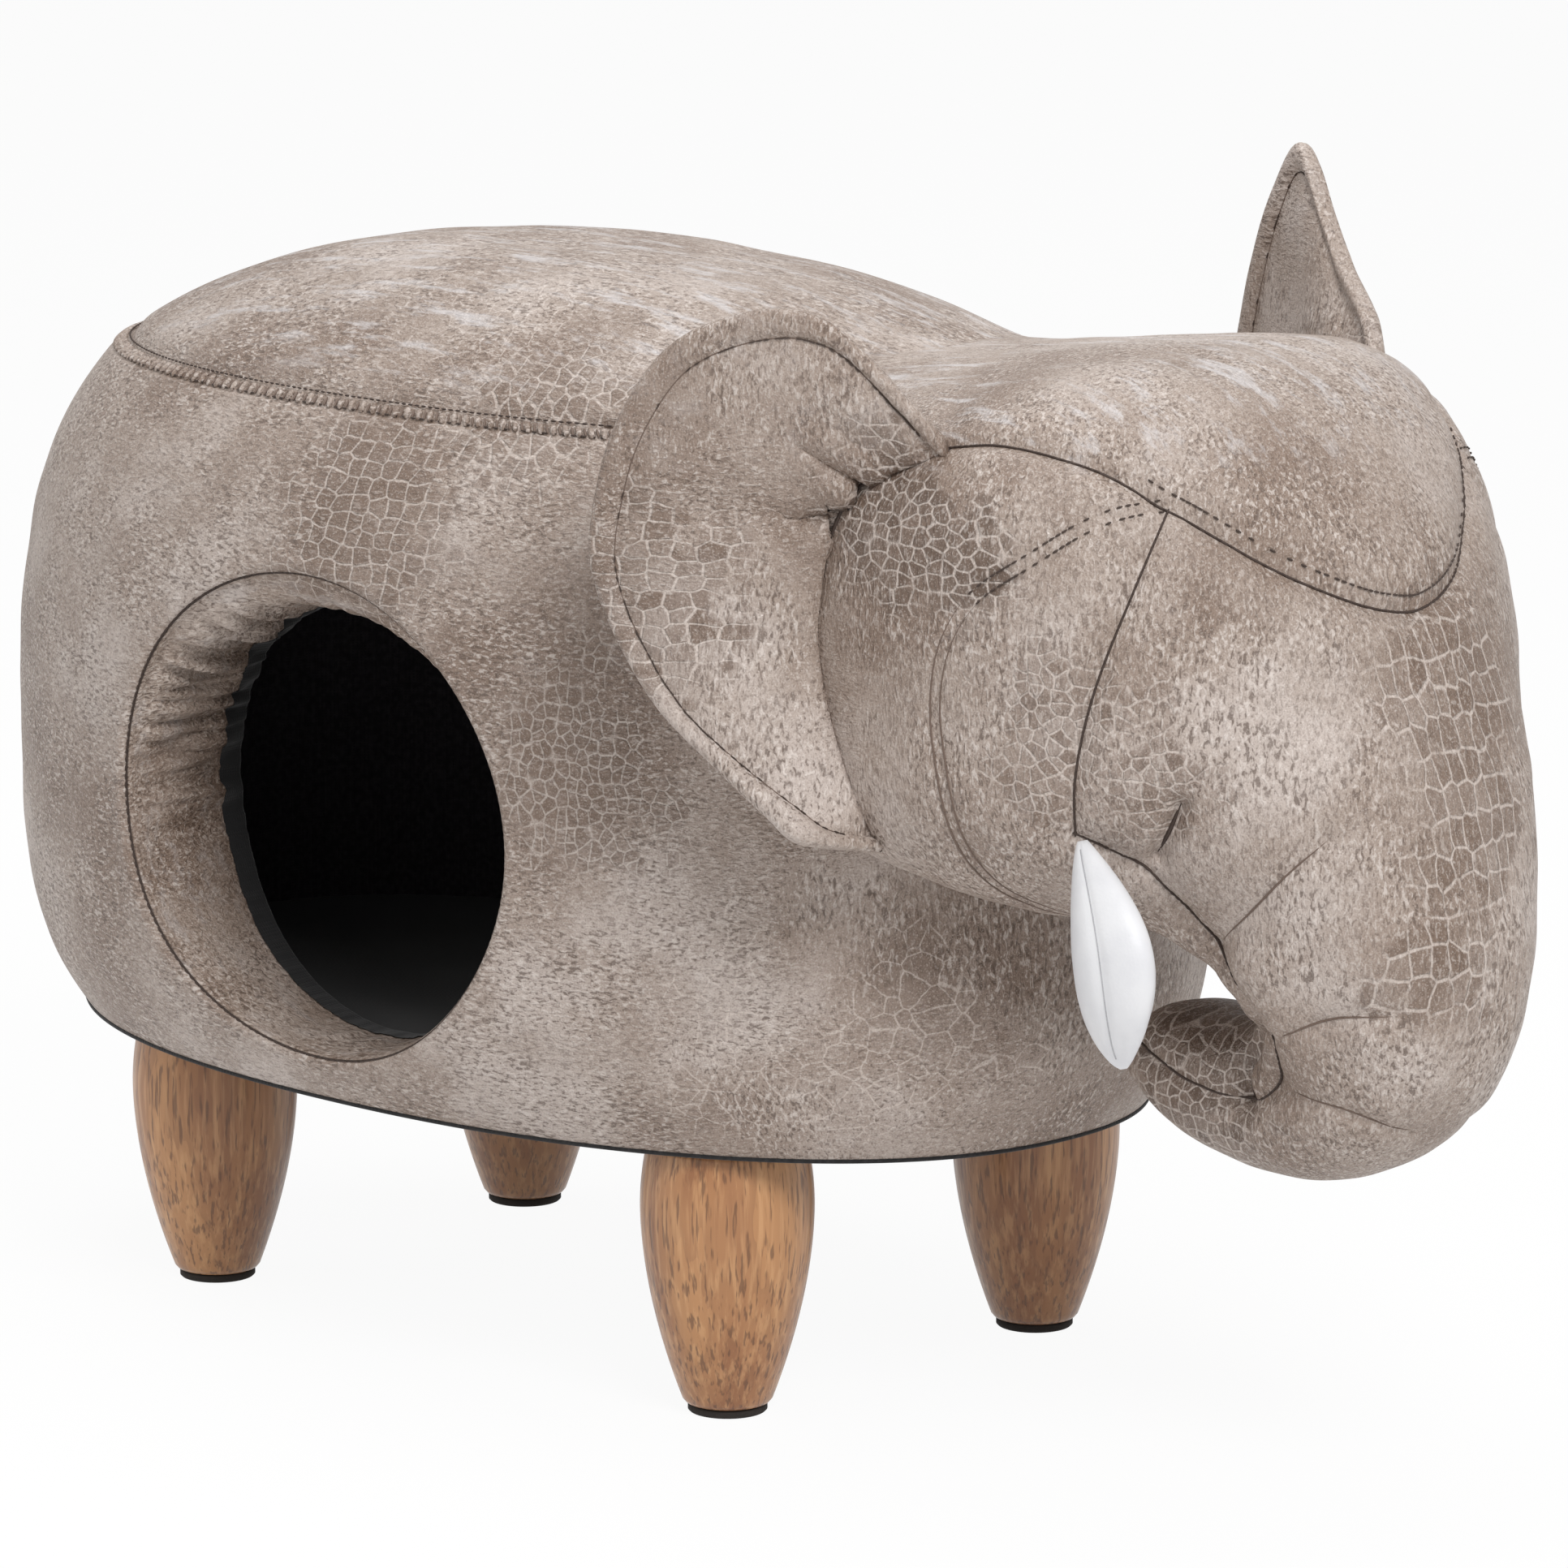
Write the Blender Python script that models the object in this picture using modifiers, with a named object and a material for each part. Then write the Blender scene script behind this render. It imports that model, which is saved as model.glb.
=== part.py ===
"""Elephant storage pouf.

An oval padded tub on four turned legs, with a round entrance in its right side that leads into a
lined hollow. A stuffed head with a curled trunk, two ear flaps and two tusks is sewn to the front.

Metres, +Z up. +X points from the tub to the trunk, the entrance faces -Y, and the origin is on the
floor under the middle of the whole object.
"""

import math

import bmesh
import bpy
from mathutils import Vector

# Clearance between pieces that touch
GAP = 0.0003

# Legs: turned, thickest just below the top
LEG_HEIGHT = 0.102
LEG_FOOT_RADIUS = 0.0164
LEG_BELLY_RADIUS = 0.0327
LEG_TOP_RADIUS = 0.0296
LEG_BELLY_DROP = 0.026
LEG_TAPER_POWER = 1.8
LEG_STEPS = 16
LEG_INSET_X = 0.127
LEG_INSET_Y = 0.0875
FITTINGS_FORWARD = 0.009
PAD_THICKNESS = 0.003
PAD_RADIUS = 0.0150

# Fixings
BOLT_RADIUS = 0.004
BOLT_IN_LEG = 0.032
BOLT_POINT = 0.006
NUT_WALL = 0.0012
NUT_FLANGE_RADIUS = 0.011
NUT_FLANGE_THICKNESS = 0.0016
NUT_BARREL = 0.010
SCREW_RADIUS = 0.002
SCREW_HEAD_RADIUS = 0.004
SCREW_HEAD_HEIGHT = 0.0024
SCREW_BITE = 0.022
SCREW_POINT = 0.004
SCREW_ANGLES = (40.0, 140.0, 220.0, 320.0)
FIXING_STEPS = 12

# Tub: an oval barrel, measured over its cover
TUB_LENGTH = 0.540
TUB_WIDTH = 0.346
PLAN_POWER = 2.2
OVAL_POINTS = 40
BASE_INSET = 0.024
SEAM_INSET = 0.043
WIDEST_RISE = 0.095
SHOULDER_POWER = 3.8
FOOT_POWER = 3.0
SEAM_ABOVE_BOARD = 0.009
SEAT_CROWN = 0.045
SEAT_CROWN_POWER = 3.0
COVER_THICKNESS = 0.002

# Boards and walls inside the tub
DUST_THICKNESS = 0.001
BASE_THICKNESS = 0.015
BOARD_MARGIN = 0.001
WALL_INSET = 0.040
WALL_THICKNESS = 0.012
SEAT_BOARD_THICKNESS = 0.012
LINING_THICKNESS = 0.0012

# Entrance: a round hole, a little wider than high, through cover, foam, wall and lining
ENTRANCE_WIDTH = 0.210
ENTRANCE_HEIGHT = 0.186
ENTRANCE_SILL = 0.0015
ENTRANCE_HEADER = 0.0413
ENTRANCE_POINTS = 40
SLEEVE_THICKNESS = 0.003

# Head: sections across X. Each row is the distance ahead of the tub's front, the half width, the
# heights of crown and chin above the tub's underside, and the squareness of the section.
HEAD_SECTIONS = (
    (-0.131, 0.105, 0.286, 0.160, 3.0),
    (-0.061, 0.128, 0.290, 0.123, 4.0),
    (-0.001, 0.135, 0.296, 0.108, 4.0),
    (0.039, 0.134, 0.303, 0.103, 3.6),
    (0.070, 0.124, 0.299, 0.099, 2.7),
    (0.099, 0.106, 0.284, 0.095, 2.2),
    (0.119, 0.085, 0.261, 0.096, 2.0),
    (0.134, 0.062, 0.238, 0.103, 2.0),
    (0.144, 0.038, 0.214, 0.120, 2.0),
    (0.149, 0.012, 0.185, 0.150, 2.0),
)
HEAD_RINGS = 19
HEAD_POINTS = 28

# Trunk: sections from the face to the tip. Each row is a point on the outer line and a point on
# the inner line, both as distance ahead of the tub's front and height above its underside, and
# the half width.
TRUNK_SECTIONS = (
    (0.139, 0.217, 0.039, 0.125, 0.086),
    (0.158, 0.178, 0.069, 0.108, 0.080),
    (0.170, 0.140, 0.082, 0.099, 0.068),
    (0.177, 0.100, 0.088, 0.090, 0.055),
    (0.174, 0.064, 0.091, 0.082, 0.047),
    (0.159, 0.035, 0.092, 0.075, 0.043),
    (0.133, 0.016, 0.090, 0.069, 0.041),
    (0.104, 0.008, 0.083, 0.065, 0.039),
    (0.074, 0.010, 0.069, 0.063, 0.037),
    (0.047, 0.018, 0.049, 0.063, 0.034),
    (0.025, 0.033, 0.031, 0.061, 0.028),
    (0.014, 0.044, 0.020, 0.053, 0.017),
)
TRUNK_RINGS = 26
TRUNK_POINTS = 20
TRUNK_POWER = 2.2

# Ears: an outline in the flap's own plane, as distance from the hinge line and height along it
EAR_OUTLINE = (
    (0.000, 0.003), (0.023, 0.010), (0.065, 0.043), (0.092, 0.084),
    (0.0965, 0.104), (0.093, 0.130), (0.070, 0.173), (0.030, 0.190), (0.010, 0.186),
    (0.000, 0.172), (0.000, 0.130), (0.000, 0.090), (0.000, 0.055), (0.000, 0.025),
)
EAR_AHEAD = -0.006
EAR_FOOT_RISE = 0.135
EAR_SPAN = 0.145
EAR_FLARE_RIGHT = 28.0
EAR_FLARE_LEFT = 23.0
EAR_BULGE = 0.008
EAR_THICKNESS = 0.010
EAR_EDGE = 0.004
EAR_LIFT_RIGHT = 0.0
EAR_LIFT_LEFT = 0.030
EAR_LIFT_FROM = 0.060
EAR_POINTS = 36
EAR_CLEARANCE = 0.0004

# Tusks: leaf shapes that hang from the corners of the mouth
TUSK_AHEAD = 0.082
TUSK_ROOT_RISE = 0.145
TUSK_LENGTH = 0.082
TUSK_WIDTH = 0.036
TUSK_THICKNESS = 0.020
TUSK_ROOT = 0.006
TUSK_FULLEST = 0.56
TUSK_LEAN_RIGHT = 14.0
TUSK_LEAN_LEFT = -4.0
TUSK_BOW_RIGHT = 0.012
TUSK_BOW_LEFT = 0.0
TUSK_RINGS = 9
TUSK_POINTS = 12
TUSK_CLEARANCE = 0.0008

# Places that follow from the sizes above
TUB_HALF_X = TUB_LENGTH / 2
TUB_HALF_Y = TUB_WIDTH / 2
TRUNK_REACH = max(row[0] for row in TRUNK_SECTIONS)
TUB_X = -TRUNK_REACH / 2
FRONT_X = TUB_X + TUB_HALF_X
FITTINGS_X = TUB_X + FITTINGS_FORWARD
UNDER_Z = PAD_THICKNESS + GAP + LEG_HEIGHT + GAP
BASE_Z = UNDER_Z + DUST_THICKNESS + GAP
BASE_TOP = BASE_Z + BASE_THICKNESS
WALL_Z = BASE_TOP + GAP
FLOOR_TOP = WALL_Z + LINING_THICKNESS
ENTRANCE_Z = FLOOR_TOP + ENTRANCE_SILL + ENTRANCE_HEIGHT / 2
WALL_TOP = ENTRANCE_Z + ENTRANCE_HEIGHT / 2 + ENTRANCE_HEADER
SEAT_BOARD_Z = WALL_TOP + GAP
SEAT_BOARD_TOP = SEAT_BOARD_Z + SEAT_BOARD_THICKNESS
SEAM_Z = SEAT_BOARD_TOP + SEAM_ABOVE_BOARD
WIDEST_Z = UNDER_Z + WIDEST_RISE
FOAM_TOP = WALL_TOP
LINING_INSET = WALL_INSET + WALL_THICKNESS + GAP
LEG_X = TUB_HALF_X - LEG_INSET_X
LEG_Y = TUB_HALF_Y - LEG_INSET_Y
CORNERS = {
    "front_right": (FITTINGS_X + LEG_X, -LEG_Y),
    "front_left": (FITTINGS_X + LEG_X, LEG_Y),
    "rear_right": (FITTINGS_X - LEG_X, -LEG_Y),
    "rear_left": (FITTINGS_X - LEG_X, LEG_Y),
}

for old in list(bpy.data.objects):
    bpy.data.objects.remove(old, do_unlink=True)

parts = bpy.data.collections.new("elephant_storage_pouf")
cutters = bpy.data.collections.new("cutters")
bpy.context.scene.collection.children.link(parts)
bpy.context.scene.collection.children.link(cutters)


def make_material(name, colour, roughness, metallic=0.0):
    """A plain finish for one kind of piece."""
    made = bpy.data.materials.new(name)
    made.use_nodes = True
    shader = made.node_tree.nodes["Principled BSDF"]
    shader.inputs["Base Color"].default_value = (*colour, 1.0)
    shader.inputs["Roughness"].default_value = roughness
    shader.inputs["Metallic"].default_value = metallic
    return made


TAUPE = make_material("taupe_leather", (0.34, 0.27, 0.23), 0.55)
WHITE = make_material("white_leather", (0.74, 0.74, 0.75), 0.5)
BLACK = make_material("black_lining", (0.012, 0.011, 0.012), 0.9)
WOOD = make_material("turned_wood", (0.36, 0.21, 0.11), 0.45)
PLY = make_material("plywood", (0.55, 0.40, 0.24), 0.7)
FOAM = make_material("foam", (0.80, 0.76, 0.62), 0.95)
STEEL = make_material("zinc_steel", (0.60, 0.60, 0.58), 0.35, 1.0)
RUBBER = make_material("pad_felt", (0.03, 0.03, 0.03), 0.9)


def finish_mesh(name, bm, place, material, cutter=False):
    """Turn a bmesh into a named object at its place."""
    bmesh.ops.recalc_face_normals(bm, faces=bm.faces)
    mesh = bpy.data.meshes.new(name)
    bm.to_mesh(mesh)
    bm.free()
    mesh.shade_smooth()
    mesh.set_sharp_from_angle(angle=math.radians(40))
    made = bpy.data.objects.new(name, mesh)
    made.location = place
    if cutter:
        cutters.objects.link(made)
        made.hide_render = True
        made.display_type = "WIRE"
    else:
        parts.objects.link(made)
        mesh.materials.append(material)
    return made


def loft(name, rings, material, place=(0, 0, 0), loop=False, cutter=False):
    """Skin a row of rings with equal point counts; a loop joins its last ring to its first."""
    bm = bmesh.new()
    rows = [[bm.verts.new(point) for point in ring] for ring in rings]
    pairs = list(zip(rows, rows[1:]))
    if loop:
        pairs.append((rows[-1], rows[0]))
    else:
        bm.faces.new(rows[0])
        bm.faces.new(rows[-1])
    for low, high in pairs:
        for i in range(len(low)):
            j = (i + 1) % len(low)
            bm.faces.new((low[i], low[j], high[j], high[i]))
    return finish_mesh(name, bm, place, material, cutter)


def turned(name, profile, steps, material, place, cutter=False):
    """Turn a profile of (radius, height) points, listed down its outer side, about Z."""
    mesh = bpy.data.meshes.new(name)
    points = [(radius, 0.0, height) for radius, height in profile]
    mesh.from_pydata(points, [(i, i + 1) for i in range(len(points) - 1)], [])
    made = bpy.data.objects.new(name, mesh)
    made.location = place
    spin = made.modifiers.new("turn", "SCREW")
    spin.axis = "Z"
    spin.angle = math.radians(360)
    spin.steps = steps
    spin.render_steps = steps
    spin.use_merge_vertices = True
    spin.merge_threshold = 0.00001
    spin.use_smooth_shade = True
    if cutter:
        cutters.objects.link(made)
        made.hide_render = True
        made.display_type = "WIRE"
    else:
        parts.objects.link(made)
        mesh.materials.append(material)
    return made


def cut(target, cutter):
    """Take one solid away from another."""
    step = target.modifiers.new("cut_" + cutter.name, "BOOLEAN")
    step.operation = "DIFFERENCE"
    step.solver = "EXACT"
    step.object = cutter


def signed_power(value, power):
    return math.copysign(abs(value) ** power, value)


def superellipse(count, power):
    """Unit points of a rounded oval, starting on +X."""
    points = []
    for i in range(count):
        turn = 2 * math.pi * i / count
        points.append((signed_power(math.cos(turn), 2 / power), signed_power(math.sin(turn), 2 / power)))
    return points


def oval(inset, z):
    """The tub's plan outline, drawn in by an inset, at one height."""
    half_x = TUB_HALF_X - inset
    half_y = TUB_HALF_Y - inset
    return [Vector((TUB_X + half_x * x, half_y * y, z)) for x, y in superellipse(OVAL_POINTS, PLAN_POWER)]


def oval_y(inset, x):
    """Half width of the drawn-in plan outline at one place along X."""
    share = abs(x - TUB_X) / (TUB_HALF_X - inset)
    return (TUB_HALF_Y - inset) * (1 - share ** PLAN_POWER) ** (1 / PLAN_POWER)


def side_inset(z):
    """How far the barrel side is drawn in at one height."""
    if z > WIDEST_Z:
        return SEAM_INSET * ((z - WIDEST_Z) / (SEAM_Z - WIDEST_Z)) ** SHOULDER_POWER
    return BASE_INSET * ((WIDEST_Z - z) / (WIDEST_Z - UNDER_Z)) ** FOOT_POWER


BASE_BOARD_INSET = BASE_INSET + COVER_THICKNESS + BOARD_MARGIN
SEAT_BOARD_INSET = side_inset(SEAT_BOARD_TOP) + COVER_THICKNESS + BOARD_MARGIN


def smooth_rows(rows, count):
    """Rows read at even steps from a smooth curve through the given rows."""
    made = []
    for k in range(count):
        place = k * (len(rows) - 1) / (count - 1)
        i = min(int(place), len(rows) - 2)
        t = place - i
        before, start, end = rows[max(i - 1, 0)], rows[i], rows[i + 1]
        after = rows[min(i + 2, len(rows) - 1)]
        row = []
        for a, b, c, d in zip(before, start, end, after):
            row.append(0.5 * (2 * b + (c - a) * t + (2 * a - 5 * b + 4 * c - d) * t * t
                              + (3 * b - a - 3 * c + d) * t ** 3))
        made.append(tuple(row))
    return made


# Heights that the side cover and the foam behind it share
SIDE_STEPS = 6
foam_heights = [WALL_Z + (FOAM_TOP - WALL_Z) * i / SIDE_STEPS for i in range(SIDE_STEPS + 1)]
cover_heights = [UNDER_Z] + foam_heights + [(FOAM_TOP + SEAM_Z) / 2, SEAM_Z - GAP / 2]
SEAT_SHARES = (1.0, 0.94, 0.84, 0.68, 0.45, 0.2)
DOME_LIFT = GAP / 2


def seat_ring(share, depth):
    """One ring of the domed seat, a share of the way out, at a depth under its surface."""
    height = SEAM_Z + DOME_LIFT + SEAT_CROWN * (1 - share ** SEAT_CROWN_POWER) - depth
    half_x = (TUB_HALF_X - SEAM_INSET - depth) * share
    half_y = (TUB_HALF_Y - SEAM_INSET - depth) * share
    return [Vector((TUB_X + half_x * x, half_y * y, height)) for x, y in superellipse(OVAL_POINTS, PLAN_POWER)]


# The whole tub as one solid, a clearance larger, to shape what is sewn against it
envelope_rings = [oval(side_inset(z) - GAP, z) for z in cover_heights]
envelope_rings += [seat_ring(share, -GAP) for share in SEAT_SHARES]
envelope = loft("tub_envelope", envelope_rings, None, cutter=True)


def entrance_ring(grow, y):
    """The entrance's outline at one place along Y, a clearance larger or a wall smaller."""
    return [Vector((FITTINGS_X + (ENTRANCE_WIDTH / 2 + grow) * x, y, ENTRANCE_Z + (ENTRANCE_HEIGHT / 2 + grow) * z))
            for x, z in superellipse(ENTRANCE_POINTS, 2.0)]


# Entrance cutter, a clearance larger than the sleeve
entrance = loft("entrance_cutter", [entrance_ring(GAP, y) for y in (-TUB_WIDTH, 0.0)], None, cutter=True)

# Side cover: a thin barrel skin
outer_side = [oval(side_inset(z), z) for z in cover_heights]
inner_side = [oval(side_inset(z) + COVER_THICKNESS, z) for z in reversed(cover_heights)]
side_cover = loft("side_cover", outer_side + inner_side, TAUPE, loop=True)
cut(side_cover, entrance)

# Seat cover: a domed skin whose rim meets the side cover at the seam
under_seat = [seat_ring(share, COVER_THICKNESS) for share in reversed(SEAT_SHARES)]
rim = [oval(SEAM_INSET + COVER_THICKNESS, SEAM_Z + DOME_LIFT)]
over_seat = [seat_ring(share, 0.0) for share in SEAT_SHARES]
under_seat[-1] = rim[0]
seat_cover = loft("seat_cover", under_seat + over_seat, TAUPE)

# Foam: a ring behind the side cover and a crowned pad on the seat board
foam_face = [oval(side_inset(z) + COVER_THICKNESS + GAP, z) for z in foam_heights]
foam_back = [oval(WALL_INSET - GAP, z) for z in (FOAM_TOP, WALL_Z)]
side_foam = loft("side_foam", foam_face + foam_back, FOAM, loop=True)
cut(side_foam, entrance)

foam_depth = COVER_THICKNESS + GAP
pad_foot = oval(SEAM_INSET + foam_depth, SEAT_BOARD_TOP + GAP)
pad_rim = oval(SEAM_INSET + foam_depth, SEAM_Z)
pad_top = [seat_ring(share, foam_depth) for share in SEAT_SHARES[1:]]
loft("seat_foam", [pad_foot, pad_rim] + pad_top, FOAM)

# Boards
base_board = loft("base_board", [oval(BASE_BOARD_INSET, z) for z in (BASE_Z, BASE_TOP)], PLY)
seat_board = loft("seat_board", [oval(SEAT_BOARD_INSET, z) for z in (SEAT_BOARD_Z, SEAT_BOARD_TOP)], PLY)
dust_cover = loft("dust_cover", [oval(BASE_BOARD_INSET, z) for z in (UNDER_Z, UNDER_Z + DUST_THICKNESS)], BLACK)

# Walls: two bent halves that meet at the front and the rear
wall_outer = oval(WALL_INSET, WALL_Z)
wall_inner = oval(WALL_INSET + WALL_THICKNESS, WALL_Z)
wall_rise = Vector((0, 0, WALL_TOP - WALL_Z))
half_count = OVAL_POINTS // 2
walls = {}
for side, first in (("left", 0), ("right", half_count)):
    shift = Vector((0, GAP if side == "left" else -GAP, 0))
    sections = []
    for i in range(first, first + half_count + 1):
        out_low = wall_outer[i % OVAL_POINTS].copy()
        in_low = wall_inner[i % OVAL_POINTS].copy()
        if i in (first, first + half_count):
            out_low += shift
            in_low += shift
        sections.append([out_low, out_low + wall_rise, in_low + wall_rise, in_low])
    walls[side] = loft("wall_" + side, sections, PLY)
cut(walls["right"], entrance)

# Lining of the hollow
lining_low = WALL_Z
lining_high = WALL_TOP - LINING_THICKNESS - GAP
lining_face = [oval(LINING_INSET, z) for z in (lining_low, lining_high)]
lining_back = [oval(LINING_INSET + LINING_THICKNESS, z) for z in (lining_high, lining_low)]
lining_wall = loft("lining_wall", lining_face + lining_back, BLACK, loop=True)
cut(lining_wall, entrance)
floor_inset = LINING_INSET + LINING_THICKNESS + GAP
loft("lining_floor", [oval(floor_inset, z) for z in (WALL_Z, FLOOR_TOP)], BLACK)
loft("lining_ceiling", [oval(LINING_INSET, z) for z in (WALL_TOP - LINING_THICKNESS, WALL_TOP)], BLACK)

# Sleeve: a collar that follows the tub's side at its mouth and the lining at its inner end
sleeve_rings = []
for grow, mouth in ((0.0, True), (-SLEEVE_THICKNESS, True), (-SLEEVE_THICKNESS, False), (0.0, False)):
    ring = entrance_ring(grow, 0.0)
    for point in ring:
        inset = side_inset(point.z) if mouth else LINING_INSET + LINING_THICKNESS
        point.y = -oval_y(inset, point.x)
    sleeve_rings.append(ring)
loft("tunnel_sleeve", sleeve_rings, TAUPE, loop=True)


# Legs with their fixings
def leg_radius(z):
    """Radius of the turned leg at a height above its foot."""
    belly = LEG_HEIGHT - LEG_BELLY_DROP
    if z < belly:
        return LEG_BELLY_RADIUS - (LEG_BELLY_RADIUS - LEG_FOOT_RADIUS) * ((belly - z) / belly) ** LEG_TAPER_POWER
    return LEG_BELLY_RADIUS - (LEG_BELLY_RADIUS - LEG_TOP_RADIUS) * ((z - belly) / LEG_BELLY_DROP) ** 2


LEG_BANDS = 9
leg_profile = [(0.0, LEG_HEIGHT - BOLT_IN_LEG - GAP), (BOLT_RADIUS + GAP, LEG_HEIGHT - BOLT_IN_LEG + BOLT_POINT)]
leg_profile.append((BOLT_RADIUS + GAP, LEG_HEIGHT))
leg_profile += [(leg_radius(LEG_HEIGHT * (1 - i / LEG_BANDS)), LEG_HEIGHT * (1 - i / LEG_BANDS))
                for i in range(LEG_BANDS + 1)]
leg_profile.append((0.0, 0.0))
pad_profile = [(0.0, PAD_THICKNESS), (PAD_RADIUS, PAD_THICKNESS), (PAD_RADIUS, 0.0), (0.0, 0.0)]
nut_radius = BOLT_RADIUS + GAP + NUT_WALL
nut_profile = [(BOLT_RADIUS + GAP, -NUT_BARREL), (BOLT_RADIUS + GAP, 0.0), (NUT_FLANGE_RADIUS, 0.0),
               (NUT_FLANGE_RADIUS, -NUT_FLANGE_THICKNESS), (nut_radius, -NUT_FLANGE_THICKNESS),
               (nut_radius, -NUT_BARREL), (BOLT_RADIUS + GAP, -NUT_BARREL)]
nut_seat = [(0.0, 3 * GAP), (NUT_FLANGE_RADIUS + GAP, 3 * GAP),
            (NUT_FLANGE_RADIUS + GAP, -NUT_FLANGE_THICKNESS - GAP),
            (nut_radius + GAP, -NUT_FLANGE_THICKNESS - GAP), (nut_radius + GAP, -2 * BASE_THICKNESS),
            (0.0, -2 * BASE_THICKNESS)]
leg_top = PAD_THICKNESS + GAP + LEG_HEIGHT
bolt_top = BASE_TOP - leg_top - NUT_FLANGE_THICKNESS
bolt_profile = [(0.0, bolt_top), (BOLT_RADIUS, bolt_top), (BOLT_RADIUS, -BOLT_IN_LEG + BOLT_POINT),
                (0.0, -BOLT_IN_LEG)]
for corner, (x, y) in CORNERS.items():
    turned("leg_" + corner, leg_profile, LEG_STEPS, WOOD, (x, y, PAD_THICKNESS + GAP))
    turned("leg_pad_" + corner, pad_profile, LEG_STEPS, RUBBER, (x, y, 0.0))
    turned("hanger_bolt_" + corner, bolt_profile, FIXING_STEPS, STEEL, (x, y, leg_top))
    turned("t_nut_" + corner, nut_profile, FIXING_STEPS, STEEL, (x, y, BASE_TOP - GAP))
    seat_cutter = turned("nut_seat_" + corner, nut_seat, FIXING_STEPS, None, (x, y, BASE_TOP - GAP), cutter=True)
    cut(base_board, seat_cutter)
    cut(dust_cover, seat_cutter)


# Screws that hold the walls between the two boards
def screw_profile(length):
    """Countersunk screw, head up."""
    return [(0.0, 0.0), (SCREW_HEAD_RADIUS, 0.0), (SCREW_RADIUS, -SCREW_HEAD_HEIGHT),
            (SCREW_RADIUS, -length + SCREW_POINT), (0.0, -length)]


def screw_hole_profile(length):
    """The screw a clearance larger, open past the face that its head is sunk in."""
    head, shank = SCREW_HEAD_RADIUS + GAP, SCREW_RADIUS + GAP
    return [(0.0, 3 * GAP), (head, 3 * GAP), (head, GAP), (shank, -SCREW_HEAD_HEIGHT),
            (shank, -length + SCREW_POINT), (0.0, -length - GAP)]


wall_middle = WALL_INSET + WALL_THICKNESS / 2
for number, degrees in enumerate(SCREW_ANGLES, 1):
    turn = math.radians(degrees)
    x = TUB_X + (TUB_HALF_X - wall_middle) * signed_power(math.cos(turn), 2 / PLAN_POWER)
    y = (TUB_HALF_Y - wall_middle) * signed_power(math.sin(turn), 2 / PLAN_POWER)
    wall = walls["left"] if y > 0 else walls["right"]
    for board, thickness, z, flip, label in (
            (base_board, BASE_THICKNESS, BASE_Z + GAP, math.pi, "base"),
            (seat_board, SEAT_BOARD_THICKNESS, SEAT_BOARD_TOP - GAP, 0.0, "seat")):
        length = thickness + SCREW_BITE
        screw = turned("%s_screw_%d" % (label, number), screw_profile(length), FIXING_STEPS, STEEL, (x, y, z))
        hole = turned("%s_screw_hole_%d" % (label, number), screw_hole_profile(length), FIXING_STEPS, None,
                      (x, y, z), cutter=True)
        screw.rotation_euler = (flip, 0, 0)
        hole.rotation_euler = (flip, 0, 0)
        cut(board, hole)
        cut(wall, hole)


# Head
def head_rings():
    """Sections of the head from its rear, inside the tub, to its nose."""
    rings = []
    for ahead, half, crown, chin, square in smooth_rows(HEAD_SECTIONS, HEAD_RINGS):
        middle = UNDER_Z + (crown + chin) / 2
        rise = (crown - chin) / 2
        rings.append([Vector((FRONT_X + ahead, half * x, middle + rise * z))
                      for x, z in superellipse(HEAD_POINTS, square)])
    return rings


def head_half_width(ahead, z):
    """Half width of the head at a place along X and a height."""
    rows = smooth_rows(HEAD_SECTIONS, HEAD_RINGS)
    for near, far in zip(rows, rows[1:]):
        if near[0] <= ahead <= far[0]:
            share = (ahead - near[0]) / (far[0] - near[0])
            half, crown, chin, square = [a + (b - a) * share for a, b in zip(near[1:], far[1:])]
            middle = UNDER_Z + (crown + chin) / 2
            reach = min(abs(z - middle) / ((crown - chin) / 2), 1.0)
            return half * (1 - reach ** square) ** (1 / square)
    return 0.0


head = loft("head", head_rings(), TAUPE)
cut(head, envelope)

# The same head, swollen by a clearance, shapes what is sewn to it
head_cutter = loft("head_cutter", head_rings(), None, cutter=True)
swell = head_cutter.modifiers.new("clearance", "DISPLACE")
swell.mid_level = 0.0
swell.strength = 2 * GAP

# Trunk: it leaves the face, hangs, and curls back under the chin
trunk_rings = []
for out_x, out_z, in_x, in_z, half in smooth_rows(TRUNK_SECTIONS, TRUNK_RINGS):
    outer = Vector((FRONT_X + out_x, 0, UNDER_Z + out_z))
    inner = Vector((FRONT_X + in_x, 0, UNDER_Z + in_z))
    middle = (outer + inner) / 2
    reach = (outer - inner) / 2
    trunk_rings.append([middle + reach * a + Vector((0, half * b, 0))
                        for a, b in superellipse(TRUNK_POINTS, TRUNK_POWER)])
trunk = loft("trunk", trunk_rings, TAUPE)
cut(trunk, head_cutter)
cut(trunk, envelope)


# Ears: thin padded flaps, hinged where they are sewn to the head
def ear_outline(lift):
    """The flap's outline as a smooth closed curve, its top pulled up by a lift."""
    count = len(EAR_OUTLINE)
    top = max(v for u, v in EAR_OUTLINE)
    points = []
    for k in range(EAR_POINTS):
        place = k * count / EAR_POINTS
        i = int(place)
        t = place - i
        near = [EAR_OUTLINE[(i + j) % count] for j in (-1, 0, 1, 2)]
        u, v = [0.5 * (2 * b + (c - a) * t + (2 * a - 5 * b + 4 * c - d) * t * t
                       + (3 * b - a - 3 * c + d) * t ** 3) for a, b, c, d in zip(*near)]
        if v > EAR_LIFT_FROM:
            v += lift * ((v - EAR_LIFT_FROM) / (top - EAR_LIFT_FROM)) ** 2
        points.append((max(u, 0.0), v))
    return points


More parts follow.
